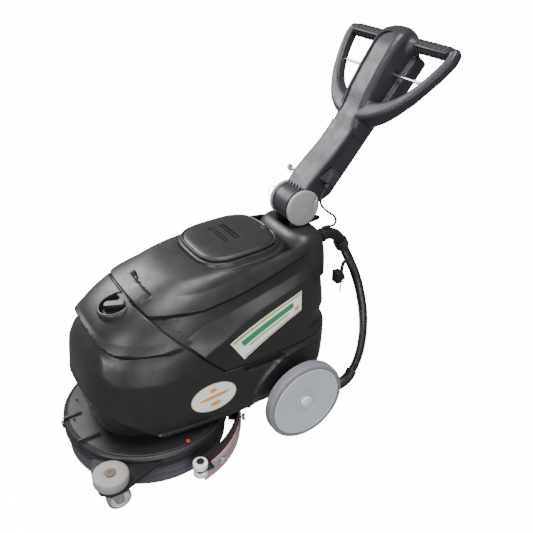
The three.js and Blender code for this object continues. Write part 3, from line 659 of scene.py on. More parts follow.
def body_surface():
    """The whole body's outer skin with its relief, before it is split into the two tanks."""
    mesh = skin(body_rows(), ends=False)
    bm = bmesh.new()
    bm.from_mesh(mesh)
    corner = Vector(metres([(0, SEAM_Y, SEAM_Z)])[0])
    for normal in (Vector((0, 0, 1)), Vector((0, SEAM_SLOPE, 1)).normalized()):
        for offset in (-5, -3.2, -1.8, -1, 1, 1.8, 3.2, 5):
            bmesh.ops.bisect_plane(bm, geom=bm.verts[:] + bm.edges[:] + bm.faces[:], dist=1e-7,
                plane_co=corner + normal * offset / 1000, plane_no=normal)
    bm.normal_update()
    points = np.array([v.co for v in bm.verts]) * 1000 - (0, AXLE.y, 0)
    normals = np.array([v.normal for v in bm.verts])
    if (normals[:, :2] * points[:, :2]).sum() < 0:
        normals = -normals
    points = points + normals * relief(points)[:, None]
    points[:, 0] += np.sign(points[:, 0]) * arch_depth(*points.T)
    for vertex, point in zip(bm.verts, metres(points)):
        vertex.co = point
    return bm


def half_of_body(bm, upper):
    """One tank's skin: the faces on its side of the seam, thickened inwards."""
    part = bm.copy()
    side = 1 if upper else -1
    wrong = [face for face in part.faces if side * height_over_seam(face) < 0.9]
    bmesh.ops.delete(part, geom=wrong, context="FACES")
    bmesh.ops.recalc_face_normals(part, faces=part.faces)
    mesh = bpy.data.meshes.new("half")
    part.to_mesh(mesh)
    part.free()
    return worked(mesh, ("SOLIDIFY", {"thickness": 0.0035, "offset": -1, "use_even_offset": False}))


# ---- tanks, lid and filler

LID_Y = -102.4
LID_SLOPE = 0.061
FILLER = Vector((34, -397.5, 374))
FILLER_AXIS = Vector((0, -0.2656, 0.9641))
FILLER_RADIUS = 36
LABEL_CORNERS = np.array([(-161, 280), (11, 352), (17, 400), (-199, 337)], float)
LABEL_BOW = np.array((-3.4, 8.2))


def lid_loop(half, z, stretch=2.6, count=144):
    """A rounded-square loop concentric with the lid, on the lid's slope."""
    x, y = superellipse(half, LID_Y - half - stretch, LID_Y + half + stretch, 3.3, count)
    return np.stack([x, y, z + LID_SLOPE * (y - LID_Y)], 1)


def make_collar():
    """The stepped collar round the mouth of the recovery tank, which the lid sits on."""
    steps_out = [(121, 476), (119, 489), (117.5, 492.5), (114.5, 494), (110, 494), (108.6, 495.5),
        (107.8, 501), (106.4, 503.6), (104, 504.6), (94, 504.6), (92, 501), (80, 501), (78, 499),
        (78, 476)]
    return skin([lid_loop(half, z) for half, z in steps_out], ring=True)


def make_rear_shoulder():
    """The tank's raised back, either side of the slot for the hinge bracket."""
    levels = curve([(400, 124, -20, 138.5), (440, 118, 0, 138), (470, 109, 20, 136), (488, 102, 32, 133),
        (499, 94, 40, 128), (506, 84, 50, 120), (509, 70, 62, 108)], 26)
    rows = []
    for z, half, front, rear in levels:
        x, y = superellipse(half, front, rear, 3.1, 120)
        rows.append(np.stack([x, y, np.full_like(x, z)], 1))
    slot = block((-38, 56, 478), (38, 119, 540), 4)
    return carved(skin(rows), slot)


def make_tanks():
    bm = body_surface()
    solution = half_of_body(bm, upper=False)
    recovery = half_of_body(bm, upper=True)
    bm.free()
    around = turned([(FILLER_RADIUS, -30), (FILLER_RADIUS, 60), (FILLER_RADIUS + 0.8, 61),
        (FILLER_RADIUS + 2.4, 61), (FILLER_RADIUS + 5.4, 59), (FILLER_RADIUS + 7, 55),
        (FILLER_RADIUS + 7, -30)], FILLER, FILLER_AXIS, 72)
    floor = rod(FILLER_RADIUS + 2, 38, 42, FILLER, FILLER_AXIS)
    opening = rod(FILLER_RADIUS, 42, 130, FILLER, FILLER_AXIS)
    over_seam = swept([(-200, 0, 0), (200, 0, 0)], seam_wedge())
    solution = joined(carved(solution, opening), carved(around, over_seam), carved(floor, over_seam))
    piece("solution_tank_shell", solution, "tank", "chassis", "tank_plastic", "solution_tank", sharp=38)
    piece("tank_seam_liner", seam_liner(), "black", "chassis", "tank_plastic", "solution_tank")
    whole = joined(recovery, make_collar(), make_rear_shoulder())
    piece("recovery_tank_shell", whole, "tank", "chassis", "tank_plastic", "recovery_tank", sharp=38)


def seam_wedge():
    """The side outline of everything above the seam, as (rearwards, upwards) pairs for a sweep across."""
    y, z = SEAM_Y, SEAM_Z + 1
    return [(-y, z), (-y - 400, z), (-y - 400, 900), (-y + 600, 900), (-y + 600, z + 600 * SEAM_SLOPE)]


def make_lid():
    profile = [(96, 506.8), (101, 507.0), (101.6, 508), (101.6, 510.2), (101, 511.4), (99.8, 511.9),
        (98.6, 511.4), (97.6, 510.2), (96.2, 510.2), (95, 511.6), (90, 513.4), (80, 515.2), (62, 516.8),
        (40, 517.8), (16, 518.2), (2, 518.2)]
    cover = skin([lid_loop(half, z) for half, z in profile])
    grooves = [emblem_bar(y, 13, 513, 540) for y in (-125, -94)]
    bars = [emblem_bar(y, 5, 505, 518.2) for y in (-125, -94)]
    latch = block((8, -16, 514), (26, -2, 521), 1.5)
    cover = joined(carved(cover, *grooves), *bars, latch)
    piece("lid_cover", cover, "lid", "lid", "tank_plastic", "tank_lid", sharp=34)


def emblem_bar(y, width, z0, z1):
    """One of the two plain parallel bars moulded in the lid, with round ends."""
    outline = rounded_outline([(-54, y - width / 2), (34, y - width / 2), (34, y + width / 2),
        (-54, y + width / 2)], width / 2 - 0.2, 8)
    return slab(outline, z0, z1, 0.8)


def make_filler_cap():
    disc = solid_turned([(33, 42.6), (34.4, 44), (34.4, 47), (33, 48.6), (27, 49.4), (24, 47.4), (0, 47)],
        FILLER, FILLER_AXIS)
    side = Vector((cos(radians(52)), sin(radians(52)), 0))
    side = (side - FILLER_AXIS * side.dot(FILLER_AXIS)).normalized()
    across = FILLER_AXIS.cross(side)

    def place(points):
        return np.array([FILLER + side * a + across * b + FILLER_AXIS * h for a, b, h in points])
    outline = rounded_outline([(-27, -9), (27, -9), (27, 9), (-27, 9)], 8.6, 9)
    grip = slab(outline, 46, 63, 3, place)
    piece("filler_cap_disc", disc, "black", "fill_cap", "black_plastic", "filler_cap")
    piece("filler_cap_grip", grip, "deck", "fill_cap", "black_plastic", "filler_cap")


# ---- decals


def on_label(u, v):
    """The place (y, z) on the bowed side label that is u of the way along it and v of the way up it."""
    low_front, low_rear, high_rear, high_front = LABEL_CORNERS
    low = low_front + (low_rear - low_front) * u
    high = high_front + (high_rear - high_front) * u
    return low + (high - low) * v + LABEL_BOW * 4 * u * (1 - u)


def on_side(tree, y, z, lift):
    """The place on the body's left side at (y, z), lifted off it."""
    start = Vector(metres([(400, y, z)])[0])
    hit, normal, _, _ = tree.ray_cast(start, Vector((-1, 0, 0)))
    return np.array((hit + normal * lift / 1000) * 1000) - (0, AXLE.y, 0)


def stick_on(name, points, faces, look):
    mesh = worked(mesh_of(points, faces), ("SOLIDIFY", {"thickness": 0.0004, "offset": 0}))
    piece(name, mesh, f"label_{look}", "chassis", "white_plastic", "solution_tank")


def make_decal(name, tree, across, up, look, lift=0.4, size=(40, 16)):
    """A patch of the side label, over a range of u and a range of v, laid on the body's left side."""
    columns, rows = size
    points = [on_side(tree, *on_label(u, v), lift) for v in np.linspace(*up, rows)
        for u in np.linspace(*across, columns)]
    faces = [(r * columns + c, r * columns + c + 1, (r + 1) * columns + c + 1, (r + 1) * columns + c)
        for r in range(rows - 1) for c in range(columns - 1)]
    stick_on(name, points, faces, look)


def make_badge(name, tree, half, look, lift, centre=(-244, 200.6), turn=0.0):
    """An elliptical patch on the body's left side."""
    points = [on_side(tree, *centre, lift)]
    rings, spokes = 6, 48
    for ring in range(1, rings + 1):
        for angle in np.linspace(0, 2 * pi, spokes, endpoint=False):
            a = half[0] * ring / rings * cos(angle)
            b = half[1] * ring / rings * sin(angle)
            y = centre[0] + a * cos(turn) - b * sin(turn)
            z = centre[1] + a * sin(turn) + b * cos(turn)
            points.append(on_side(tree, y, z, lift))
    faces = [(0, 1 + i, 1 + (i + 1) % spokes) for i in range(spokes)]
    for ring in range(rings - 1):
        for i in range(spokes):
            a, b = 1 + ring * spokes, 1 + (ring + 1) * spokes
            faces.append((a + i, b + i, b + (i + 1) % spokes, a + (i + 1) % spokes))
    stick_on(name, points, faces, look)


def body_tree():
    bm = bmesh.new()
    for name in ("solution_tank_shell", "recovery_tank_shell"):
        bm.from_mesh(bpy.data.objects[name].data)
    tree = BVHTree.FromBMesh(bm)
    bm.free()
    return tree


def make_decals():
    tree = body_tree()
    make_decal("side_label", tree, (0, 1), (0, 1), "white")
    for name, across, up, look in (
            ("label_top_stripe", (0.02, 0.98), (0.86, 0.95), "olive"),
            ("label_low_stripe", (0.03, 0.97), (0.04, 0.1), "khaki"),
            ("label_main_bar", (0.1, 0.86), (0.48, 0.74), "green"),
            ("label_second_bar", (0.16, 0.78), (0.3, 0.38), "khaki"),
            ("label_mark", (0.88, 0.95), (0.2, 0.42), "orange")):
        make_decal(name, tree, across, up, look, lift=0.8, size=(24, 4))
    make_badge("round_badge_rim", tree, (59.7, 40.7), "khaki", 0.4)
    make_badge("round_badge", tree, (57.5, 38.5), "white", 0.8)
    for name, place, half in (("badge_mark_top", (-246, 222), (9, 6)), ("badge_mark_middle", (-243, 203),
            (40, 5)), ("badge_mark_low", (-240, 182), (14, 6))):
        make_badge(name, tree, half, "orange", 1.2, place, turn=0.12)


# ---- wheels


def make_wheels():
    for side, name in SIDES:
        place, axis = Vector((0, 0, AXLE.z)), Vector((side, 0, 0))
        tyre = turned([(90.4, 199), (100, 197), (106, 198), (109.4, 201), (110, 205), (110, 219),
            (109.4, 223), (107, 226), (102, 227), (99, 226.8), (98, 225), (90.4, 225)], place, axis, 128)
        piece(f"{name}_tyre_ring", tyre, "tyre", f"{name}_wheel", "tyre_rubber", f"{name}_tyre")
        hub = turned([(10.4, 196), (88, 196), (90, 198), (90, 225.2), (97, 225.4), (97.4, 226.6),
            (96, 227.4), (92, 227.6), (90.6, 226.4), (89.4, 227), (80, 226.6), (60, 226.2), (36, 224.4),
            (31, 223.6), (30, 221.8), (28, 221.8), (27, 223.4), (22, 223.4), (19, 222), (18.6, 219.4),
            (10.4, 219.4)], place, axis, 128)
        piece(f"{name}_hub_disc", hub, "hub", f"{name}_wheel", "hub_plastic", f"{name}_hub", sharp=25)
        cap = solid_turned([(16, 219.8), (17, 221), (17, 226), (15.4, 228.8), (10, 230.2), (0, 230.6)],
            place, axis, 48)
        piece(f"{name}_hub_button", cap, "hub_cap", f"{name}_wheel", "pale_plastic", f"{name}_hub_cap")


# ---- deck, bumper and caster


def make_deck():
    cover = turned([(14, 92), (197, 92), (201, 88), (201, 64), (203, 62.5), (207, 62.5), (209, 64.5),
        (209, 80), (207.6, 81.4), (207.6, 83), (209, 84.4), (208.6, 91), (206, 95.5), (202, 97.6),
        (199.6, 96.6), (197.4, 96.6), (195, 98.6), (150, 100), (14, 100)], DECK_FOOT, UP, 160)
    slots = [block((x - 13, y - 2.5, 95), (x + 13, y + 2.5, 110), 1)
        for x, y in ((-78, -500), (-10, -528))]
    ribs = [block((-36, -552, 90), (-31, -505, 104), 1), block((60, -545, 80), (64, -490, 106), 1),
        block((-40, -556.4, 78), (-24, -545, 92), 1.5)]
    piece("deck_cover_shell", joined(carved(cover, *slots), *ribs), "deck", "chassis", "black_plastic",
        "deck_cover")
    skirt = turned([(195, 9), (200, 9), (201, 11), (201, 24), (199.6, 26), (201, 28), (201, 40),
        (199.6, 42), (201, 44), (201, 58), (199.6, 60), (200, 88), (195, 88)], DECK_FOOT, UP, 160)
    piece("deck_skirt_band", skirt, "skirt", "chassis", "black_plastic", "deck_skirt")


def make_corner_bracket():
    outline = [(112, -531), (150, -546), (188, -552), (222, -550), (240, -532), (241, -500), (203, -390),
        (190, -402), (172, -462), (140, -504)]
    plate = slab(rounded_outline(outline, 6, 5), 74, 84, 1.5)
    edge_rib = swept([(206, -394, 87), (222, -440, 87), (236, -486, 87)],
        [(-1.5, -4), (1.5, -4), (1.5, 4), (-1.5, 4)])
    web = slab([(-512, 84), (-545, 84), (-545, 87), (-520, 96), (-512, 97)], 150, 155, 0.8, on_edge)
    bore = rod(6.4, 60, 100, BUMPER_FOOT, UP, 32)
    piece("corner_bracket_plate", joined(carved(plate, bore), edge_rib, web), "black", "chassis",
        "black_plastic", "corner_bracket")


def make_bumper():
    disc = turned([(6.5, 84.6), (35, 84.6), (39, 85.6), (41, 89), (41, 105), (40, 108.6), (37, 111),
        (33, 112), (16, 112), (14, 111), (13, 108), (6.5, 108)], BUMPER_FOOT, UP, 96)
    piece("bumper_disc", disc, "bumper", "bumper", "bumper_plastic", "bumper_roller")
    shank = solid_turned([(10, 66), (10, 73.4), (6, 73.4), (6, 108.4), (10.5, 108.4), (11, 109),
        (11, 111), (10, 112), (5, 112), (4.6, 110.4)], BUMPER_FOOT, UP, 36)
    piece("bumper_bolt_head", shank, "rust", "chassis", "steel", "bumper_bolt")


def make_caster():
    x, y = BUMPER.x, BUMPER.y + 12
    tyre = [(23, -10), (26.5, -11), (28.6, -9), (29, -5), (29, 5), (28.6, 9), (26.5, 11), (23, 10)]
    disc = [(4.4, -11), (10, -11), (12, -8), (21, -7), (23, -9), (23, 9), (21, 7), (12, 8), (10, 11),
        (4.4, 11)]
    for name, look, profile in (("caster_tyre", "tyre", tyre), ("caster_disc", "hub_cap", disc)):
        wheel = turned(profile, (x, y, 29), ACROSS, 64)
        piece(name, wheel, look, "caster_roller", "tyre_rubber", "caster_wheel")
    cheek = rounded_outline([(y - 26, 65.2), (y + 8, 65.2), (y + 9, 21), (y - 9, 21)], 5, 5)
    sides = [slab(cheek, at, at + 3, 0.6, on_edge) for at in (x - 16, x + 13)]
    crown = block((x - 16, y - 26, 60), (x + 16, y + 8, 65.2), 1.2)
    pin = solid_turned([(4.8, -18), (5.2, -17), (3.8, -15.8), (3.8, 15.8), (5.2, 17), (4.8, 18)],
        (x, y, 29), ACROSS, 24)
    piece("caster_fork_steel", joined(*sides, crown, pin), "steel", "caster", "steel", "caster_fork")


def make_brush():
    block_mesh = turned([(14, 30), (182, 30), (182, 44), (178, 47), (40, 52), (14, 52)], DECK_FOOT, UP,
        96)
    piece("brush_block_disc", block_mesh, "motor", "brush", "motor_metal", "brush_block")
    rng = np.random.default_rng(7)
    tufts = []
    for radius, count in ((80, 22), (112, 30), (146, 44), (175, 104)):
        for i in range(count):
            angle = 2 * pi * (i + 0.5 * (radius % 48 > 24)) / count + rng.normal(0, 0.01)
            foot = Vector((radius * cos(angle), DECK.y + radius * sin(angle), 30.4))
            tip = foot + Vector((12 * cos(angle) + rng.normal(0, 1),
                12 * sin(angle) + rng.normal(0, 1), -28))
            tufts.append(swept([foot, (foot + tip) / 2 + Vector((0, 0, -1)), tip], circle(4.6, 7),
                (0.8, 1.0, 1.25), up=(0.3, 1, 0.2)))
    piece("brush_tufts", joined(*tufts), "bristle", "brush", "bristle", "brush_bristles", sharp=60)


# ---- squeegee


def arc_wall(inner, outer, z0, z1, trim=0.0, count=72, edge=0.5):
    """A curved wall of the squeegee, concentric with the deck."""
    rows = []
    for angle in np.radians(np.linspace(11 + trim, 169 - trim, count)):
        way = np.array([cos(angle), sin(angle), 0])
        section = [(inner, z0 + edge), (inner + edge, z0), (outer - edge, z0), (outer, z0 + edge),
            (outer, z1 - edge), (outer - edge, z1), (inner + edge, z1), (inner, z1 - edge)]
        rows.append([np.array([0, DECK.y, 0]) + way * r + np.array([0, 0, z]) for r, z in section])
    return skin(rows)


def make_squeegee():
    parts = [arc_wall(232, 237.6, 22, 74), arc_wall(211.5, 222, 76, 84, 38),
        arc_wall(214, 237.6, 66, 74, 38)]
    for side in (1, -1):
        low, high = sorted((side * 224, side * 262))
        parts.append(block((low, DECK.y + 18, 58), (high, DECK.y + 60, 63), 1.5))
        parts.append(solid_turned([(8, 37), (9, 38), (9, 40.2), (5, 40.2), (5, 80.8), (9, 80.8), (9, 83),
            (8, 84)], (side * 247, DECK.y + 30, 0), UP, 24))
    for angle in np.radians((50, 90, 130)):
        place = (218 * cos(angle), DECK.y + 218 * sin(angle), 0)
        parts.append(rod(3.5, 72, 78, place, UP, 16))
    piece("squeegee_carrier", joined(*parts), "black", "squeegee", "black_plastic", "squeegee_frame")
    piece("rear_blade", arc_wall(238, 242, 0.6, 48), "blade", "squeegee", "blade_rubber",
        "squeegee_blade")
    piece("front_blade", arc_wall(225.6, 229.6, 0.6, 42, 2), "blade", "squeegee", "blade_rubber",
        "squeegee_front_blade")
    piece("clamp_strip", arc_wall(242.4, 244.4, 20, 42, 2.5, edge=0.3), "zinc", "squeegee", "steel",
        "squeegee_clamp_strip")
    for number, angle in enumerate((24, 62, 118, 156), 1):
        make_wing_nut(number, radians(angle))
    for side, name in SIDES:
        for level, z0 in (("upper", 63.4), ("lower", 40.6)):
            place = (side * 247, DECK.y + 30, z0)
            roller = turned([(5.4, 0), (15.6, 0), (17.4, 1.4), (18, 4), (18, 13), (17.4, 15.6),
                (15.6, 17), (9.5, 17), (8.6, 15.4), (5.4, 15.4)], place, UP, 48)
            piece(f"{name}_{level}_roller_wheel", roller, "white", f"roller_{name}_{level}",
                "white_plastic", f"{name}_{level}_roller")


def make_wing_nut(number, angle):
    way = Vector((cos(angle), sin(angle), 0))
    side = Vector((-way.y, way.x, 0))
    centre = Vector((0, DECK.y, 32))
    hub = solid_turned([(7, 245), (7, 250), (5.5, 254)], centre, way, 24)

    def place(points):
        return np.array([centre + way * r + side * s + Vector((0, 0, h)) for r, s, h in points])
    wings = [block((247, low, -1.6), (254.5, high, 1.6), 0.8, place)
        for low, high in ((-13, -4), (4, 13))]
    piece(f"wing_nut_{number}_body", joined(hub, *wings), "cap", "squeegee", "pale_plastic",
        f"wing_nut_{number}")


# ---- hinge and handle

ARM_FRONT = [(20, 8), (34, 26), (70, 27), (110, 22), (160, 14), (215, 11), (260, 19), (320, 37),
    (380, 45), (440, 50), (478, 47)]


def front_face(along):
    return float(np.interp(along, *np.array(ARM_FRONT, float).T))


def make_hinge_bracket():
    y, z = HINGE.y, HINGE.z
    foot = block((-36, 62, 479), (36, 108, 496), 2)
    rib = slab(rounded_outline([(y + 4, 490), (y + 20, 490), (y + 24, 500), (y + 18, 513), (y + 4, 512)],
        2), -24, 34, 1, on_edge)
    ear = slab(rounded_outline([(y + 18, 509), (y + 56, 512), (y + 60, 521), (y + 50, 526),
        (y + 20, 519)], 3), 30, 35, 0.8, on_edge)
    webs = []
    for low in (-35, 28.6):
        outline = rounded_outline([(y - 26, 479), (y + 19, 479), (y + 35, 548), (y - 35, 548)], 3)
        webs.append(slab(outline, low, low + 6.4, 0.8, on_edge))
    screws = [solid_turned([(5, 0), (5, 3), (3, 4.5)], place, (0.2, -1, 0.6), 12)
        for place in ((-20, 62, 494), (20, 62, 494))]
    room = rod(45.4, -28.2, 28.2, (0, y, z), ACROSS, 64)
    piece("bracket_foot", carved(joined(foot, rib), room), "black", "chassis", "black_plastic",
        "hinge_bracket")
    piece("bracket_webs", joined(*webs, ear), "black", "chassis", "black_plastic", "hinge_bracket")
    piece("bracket_screws", joined(*screws), "steel", "chassis", "steel", "hinge_bracket")
    for side, name in SIDES:
        cheek = turned([(8.4, 28.6), (40, 28.6), (42.6, 29.4), (43.2, 31), (43.2, 33.4), (42.4, 34.8),
            (8.4, 34.8)], (0, y, z), (side, 0, 0), 96)
        piece(f"{name}_cheek", cheek, "handle", "chassis", "handle_plastic", "hinge_bracket")
    loop = tube([(-44, y - 26, z + 32), (-46, y - 40, z + 36), (-47, y - 47, z + 26),
        (-46, y - 46, z + 12), (-44, y - 38, z + 6)], 1.4, 40, 8, up=(1, 0, 0.1))
    piece("wire_clip", loop, "steel", "chassis", "steel", "hinge_bracket")


def make_hinge_caps():
    for side, name in SIDES:
        disc = turned([(8.4, 35.6), (45, 35.6), (47, 37.4), (47, 41.4), (45.6, 43.6), (43, 44.4),
            (40, 44.8), (10, 45.4), (8.4, 45.4)], HINGE_MIDDLE, (side, 0, 0), 96)
        plug = rod(9, 43, 45.4, HINGE_MIDDLE, (side, 0, 0), 32)
        scoop = swept(on_handle(curve([(side * 47, -14, 44), (side * 47, -20, 24), (side * 47, -34, 6)],
            20)), circle(7.5, 20), up=ACROSS)
        piece(f"{name}_cap_disc", joined(carved(disc, scoop), plug), "cap", "handle", "pale_plastic",
            f"{name}_hinge_cap")


def column(levels, count=56):
    """A closed column along the handle from (along, half width, back, front, squareness) levels."""
    rows = []
    for along, half, back, front, squareness in levels:
        x, y = superellipse(half, back, front, squareness, count)
        rows.append(on_handle(np.stack([x, y, np.full_like(x, along)], 1)))
    return skin(rows)


def make_arm():
    drum = turned([(8.4, -27.4), (43, -27.4), (44, -26.4), (44, 26.4), (43, 27.4), (8.4, 27.4)],
        HINGE_MIDDLE, ACROSS, 96)
    places = np.linspace(30, 232, 30)
    cover = column([(t, 41.5 + 1.2 * (t > 60), front_face(t) - 15, front_face(t), 9) for t in places])
    rear = column([(t, 38.5, -56 if t > 66 else -56 + (66 - t) * 0.55, front_face(t) - 6, 12)
        for t in np.linspace(36, 230, 24)])
    room = rod(48.2, -60, -27.4, HINGE_MIDDLE, ACROSS, 64)
    other = rod(48.2, 27.4, 60, HINGE_MIDDLE, ACROSS, 64)
    inside = block((-34, -80, 70), (34, -14, 240), 2, on_handle)
    notches = [block((x - 3.5, 18, 36), (x + 3.5, 40, 44), 0.5, on_handle) for x in (-21, -8, 5, 18)]
    arm = joined(drum, carved(cover, room, other, *notches), carved(rear, room, other, inside))
    slots = [block((x - 3.2, 24.5, 33), (x + 3.2, 29, 40), 0.5, on_handle) for x in (-21, -8, 5, 18)]
    piece("barrel_slots", joined(*slots), "black", "handle", "handle_plastic", "handle_arm")
    piece("handle_arm_shell", arm, "handle", "handle", "handle_plastic", "handle_arm", sharp=30)


def loop_bar(side):
    """One side bar of the D-shaped loop, from a broad root on the column out to the grip's end."""
    path = curve([(26, -8, 278), (56, -7, 284), (86, -5, 298), (113, -3, 319), (140, -1, 350),
        (164, 0, 394), (180, 0, 436), (186, 0, 464), (182, 0, 482)], 40)
    wide = np.interp(np.linspace(0, 1, 40), [0, 0.2, 0.4, 0.6, 1], [30, 22, 15, 12, 12])
    deep = np.interp(np.linspace(0, 1, 40), [0, 0.2, 0.4, 0.6, 1], [30, 24, 17, 14.5, 14])
    rows = []
    for i, point in enumerate(path):
        ahead = path[min(i + 1, 39)] - path[max(i - 1, 0)]
        ahead /= np.linalg.norm(ahead)
        across = np.array([ahead[2], 0, -ahead[0]])
        a, b = superellipse(wide[i], -deep[i], deep[i], 4, 28)
        row = point + across * a[:, None] + np.array([0, 1, 0]) * b[:, None]
        rows.append(on_handle(row * (side, 1, 1)))
    return skin(rows)


def grip_core(side):
    ends = [on_handle([(side * x, 0, 477)])[0] for x in (20, 190)]
    core = swept(np.linspace(*ends, 12), circle(12, 24), up=UP)
    root = swept(on_handle(curve([(side * 30, -2, 470), (side * 44, -2, 474), (side * 58, 0, 477)], 10)),
        circle(1, 24), np.linspace(34, 15, 10), up=UP)
    corner = solid_turned([(0, -15), (8, -14), (13, -8), (15, 0), (13, 8), (8, 14), (0, 15)],
        on_handle([(side * 184, 0, 476)])[0], UP, 24)
    return joined(core, root, corner)


def make_head():
    places = [(216, 40, -52, 9, 8), (222, 43.5, -55, 11.5, 7), (240, 44.5, -56, 15, 6)]
    places += [(t, 45.5, -56, front_face(t), 5.5) for t in np.linspace(260, 440, 14)]
    places += [(460, 46.5, -54, 49.5, 5), (476, 46, -48, 46.5, 4.4), (490, 42, -41, 39, 3.6),
        (501, 35, -32, 29, 3), (508, 26, -23, 18, 2.6), (512, 14, -13, 7, 2.2)]
    back = block((-60, -64, 292), (60, -20, 466), 9, on_handle)
    shape = melted(joined(column(places), back, *(loop_bar(side) for side in (1, -1)),
        *(grip_core(side) for side in (1, -1))), 2.4, 5)
    rear_hollow = block((-32, -90, 232), (32, -8, 452), 6, on_handle)
    bar_slot = block((-60, -7, 384), (60, 3, 404), 1, on_handle)
    head = carved(shape, panel_recess(), rear_hollow, bar_slot)
    frame_line = joined(*(block(low, high, 0.6, on_handle) for low, high in panel_frame()))
    piece("handle_head_shell", joined(head, frame_line), "handle", "handle", "handle_plastic",
        "handle_head", sharp=32)


def panel_frame():
    """Two low strips across the foot of the recessed panel."""
    low, high = 268, 298
    d0, d1 = front_face(low) - 5, front_face(high) - 5
    return [((-20, d0 - 3, low), (20, d0 + 0.5, low + 1.6)),
        ((-20, d1 - 3, high), (20, d1 + 0.5, high + 1.6))]


def panel_recess():
    """The sunk panel down the front of the handle head: a flat floor with a rounded top."""
    rows = []
    for along in [*np.linspace(248, 448, 24), *(448 + 26 * np.sin(np.linspace(0.1, 1.5, 10)))]:
        half = 29 if along <= 448 else 29 * sqrt(max(0.01, 1 - ((along - 448) / 26.2) ** 2))
        floor = front_face(along) - 5.0 * float(smooth(along, 246, 285))
        rows.append(on_handle([(-half, floor, along), (half, floor, along), (half + 2, floor + 40, along),
            (-half - 2, floor + 40, along)]))
    return skin(rows)


def make_grips():
    """The ribbed rubber over each grip bar."""
    for side, name in SIDES:
        rings = []
        for i in range(89):
            x = 62 + i * 1.25
            ridge = float(np.clip(1.4 * sin(2 * pi * (x - 62) / 15.7) + 0.4, 0, 1))
            rings.append((14.6 + 2.6 * ridge, x))
        profile = [(12.3, 62), *rings, (12.3, 172)]
        sleeve = turned(profile, on_handle([(0, -1, 477)])[0], (side, 0, 0), 48)
        piece(f"{name}_grip_sleeve", sleeve, "grip", "handle", "grip_rubber", f"{name}_grip")
        lip = block((min(side * 60, side * 172), 9, 466), (max(side * 60, side * 172), 18.5, 474), 3,
            on_handle)
        piece(f"{name}_grip_lip", lip, "handle", "handle", "handle_plastic", "handle_head")


def make_controls():
    bar = swept(on_handle([(-160, -2, 392), (0, -2, 392), (160, -2, 392)]), circle(4, 20), up=UP)
    tongue = block((-20, -32, 390), (20, 1, 394), 0.8, on_handle)
    piece("switch_rod", joined(bar, tongue), "steel", "switch_bar", "steel", "drive_switch_bar")
    blade = slab(rounded_outline([(32, 62), (16, 62), (16, 72), (26, 78), (36, 76)], 3), -62, -56, 1.2,
        lambda points: on_handle(on_edge(points)))
    stem = block((-58, 16, 66), (-42.6, 28, 72), 1, on_handle)
    piece("lever_blade", joined(blade, stem), "cap", "fold_lever", "pale_plastic", "release_lever")
    rows = [[(41.4, -32, t0), (57, -30, t1), (58, -8, t1), (41.4, -5, t0)]
        for t0, t1 in ((84, 86), (104, 104), (124, 110))]
    body = skin([on_handle(row) for row in rows])
    nose = solid_turned([(6, 74), (7, 76), (7, 86)], on_handle([(50, -18, 0)])[0],
        on_handle([(0, 0, 1)])[0] - HINGE_MIDDLE, 24)
    piece("gland_block", joined(body, nose), "grip", "handle", "grip_rubber", "cable_gland")
    wedge = skin([on_handle(row) for row in ([(40, -6, 84), (49, -6, 84), (44, 14, 84)],
        [(40, -6, 122), (41.5, -6, 122), (41, -3, 122)])])
    piece("gland_wedge", wedge, "handle", "handle", "pale_plastic", "cable_gland")


# ---- hose fittings, hook and knob


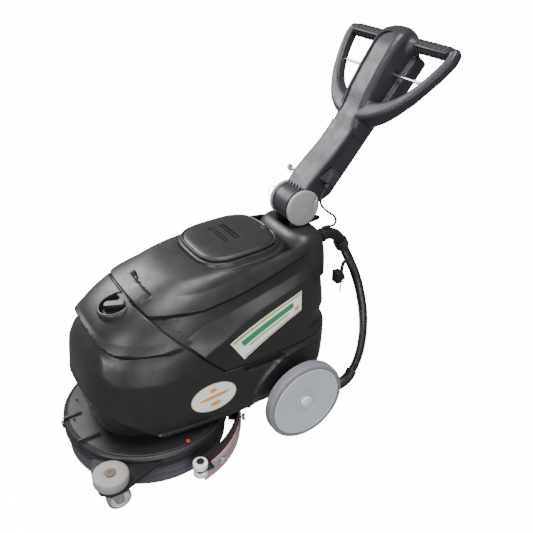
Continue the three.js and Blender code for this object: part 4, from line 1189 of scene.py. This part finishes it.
def make_hose_fittings():
    elbow = tube([(62, 114, 482), (62, 140, 482), (62, 160, 481), (62, 178, 474), (62, 190, 462),
        (62, 195, 454)], 15, 30, 32)
    collar = turned([(13, 132), (17, 132), (18, 133), (18, 140), (17, 141), (13, 141)], (62, 0, 482),
        REARWARD, 40)
    socket = solid_turned([(5, 140), (5, 160), (4, 161)], (60, 0, 500), REARWARD, 24)
    piece("elbow_pipe", joined(elbow, collar, socket), "black", "chassis", "black_plastic", "hose_elbow")
    way = Vector((0, 0.5, -0.866))
    cuff = solid_turned([(18, 0), (19, 1), (19, 5), (17.6, 6), (17.6, 8), (19, 9), (19, 13), (17.6, 14),
        (17.6, 16), (19, 17), (19, 21), (17, 26)], (62, 195.4, 453.4), way, 48)
    piece("hose_cuff_rings", cuff, "black", "chassis", "black_plastic", "hose_cuff")
    port = tube([(154.8, 203, 86), (158.2, 189.8, 70.5), (158, 170, 57), (156, 140, 50), (154, 96, 49)],
        15, 30, 28)
    stay = block((124, 90, 42), (168, 98.5, 100), 1.5)
    piece("suction_port", joined(port, stay), "black", "chassis", "black_plastic", "hose_port")


def make_cord_hook():
    x, z = 124, 384
    base = block((x - 12, 138.6, z - 12), (x + 12, 158, z + 20), 2)
    peg = rod(6, 156, 166, (x, 0, z), REARWARD, 24)
    piece("hook_base", joined(base, peg), "black", "chassis", "black_plastic", "hook_block")
    ring = turned([(6.5, 158.5), (11, 158.5), (11, 165), (6.5, 165)], (x, 0, z), REARWARD, 32)
    arm = swept(curve([(x, 161, z + 8), (x, 161.5, z + 28), (x, 166, z + 40), (x, 182, z + 43)], 16),
        [(-4, -2.4), (4, -2.4), (4, 2.4), (-4, 2.4)], up=(1, 0, 0.01))
    drop = rod(2, z - 46, z - 8, (x, 161.7, 0), UP, 16)
    piece("hook_arm", joined(ring, arm, drop), "black", "hook", "black_plastic", "cord_hook")


def make_valve_knob():
    knob = solid_turned([(3, 99), (3, 101), (4.4, 101), (5, 102), (5, 106), (4.4, 107), (0, 107.4)],
        (194, -320, 0), UP, 32)
    piece("drain_knob", knob, "red", "valve", "red_plastic", "valve_knob")


make_tanks()
make_lid()
make_filler_cap()
make_decals()
make_wheels()
make_deck()
make_corner_bracket()
make_bumper()
make_caster()
make_brush()
make_squeegee()
make_hinge_bracket()
make_hinge_caps()
make_arm()
make_head()
make_grips()
make_controls()
make_hose_fittings()
make_cord_hook()
make_valve_knob()

INNER_LOOKS = {
    "chassis_frame": "black", "rear_axle": "steel", "brush_motor": "motor", "gearbox": "motor",
    "vacuum_motor": "motor", "drive_shaft": "steel", "hinge_pin": "steel", "lid_hinge_pin": "black",
    "lid_gasket": "grip", "float_cage": "white", "float_ball": "bumper",
}
for name, look in INNER_LOOKS.items():
    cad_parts[name].data.materials.clear()
    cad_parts[name].data.materials.append(looks[look])
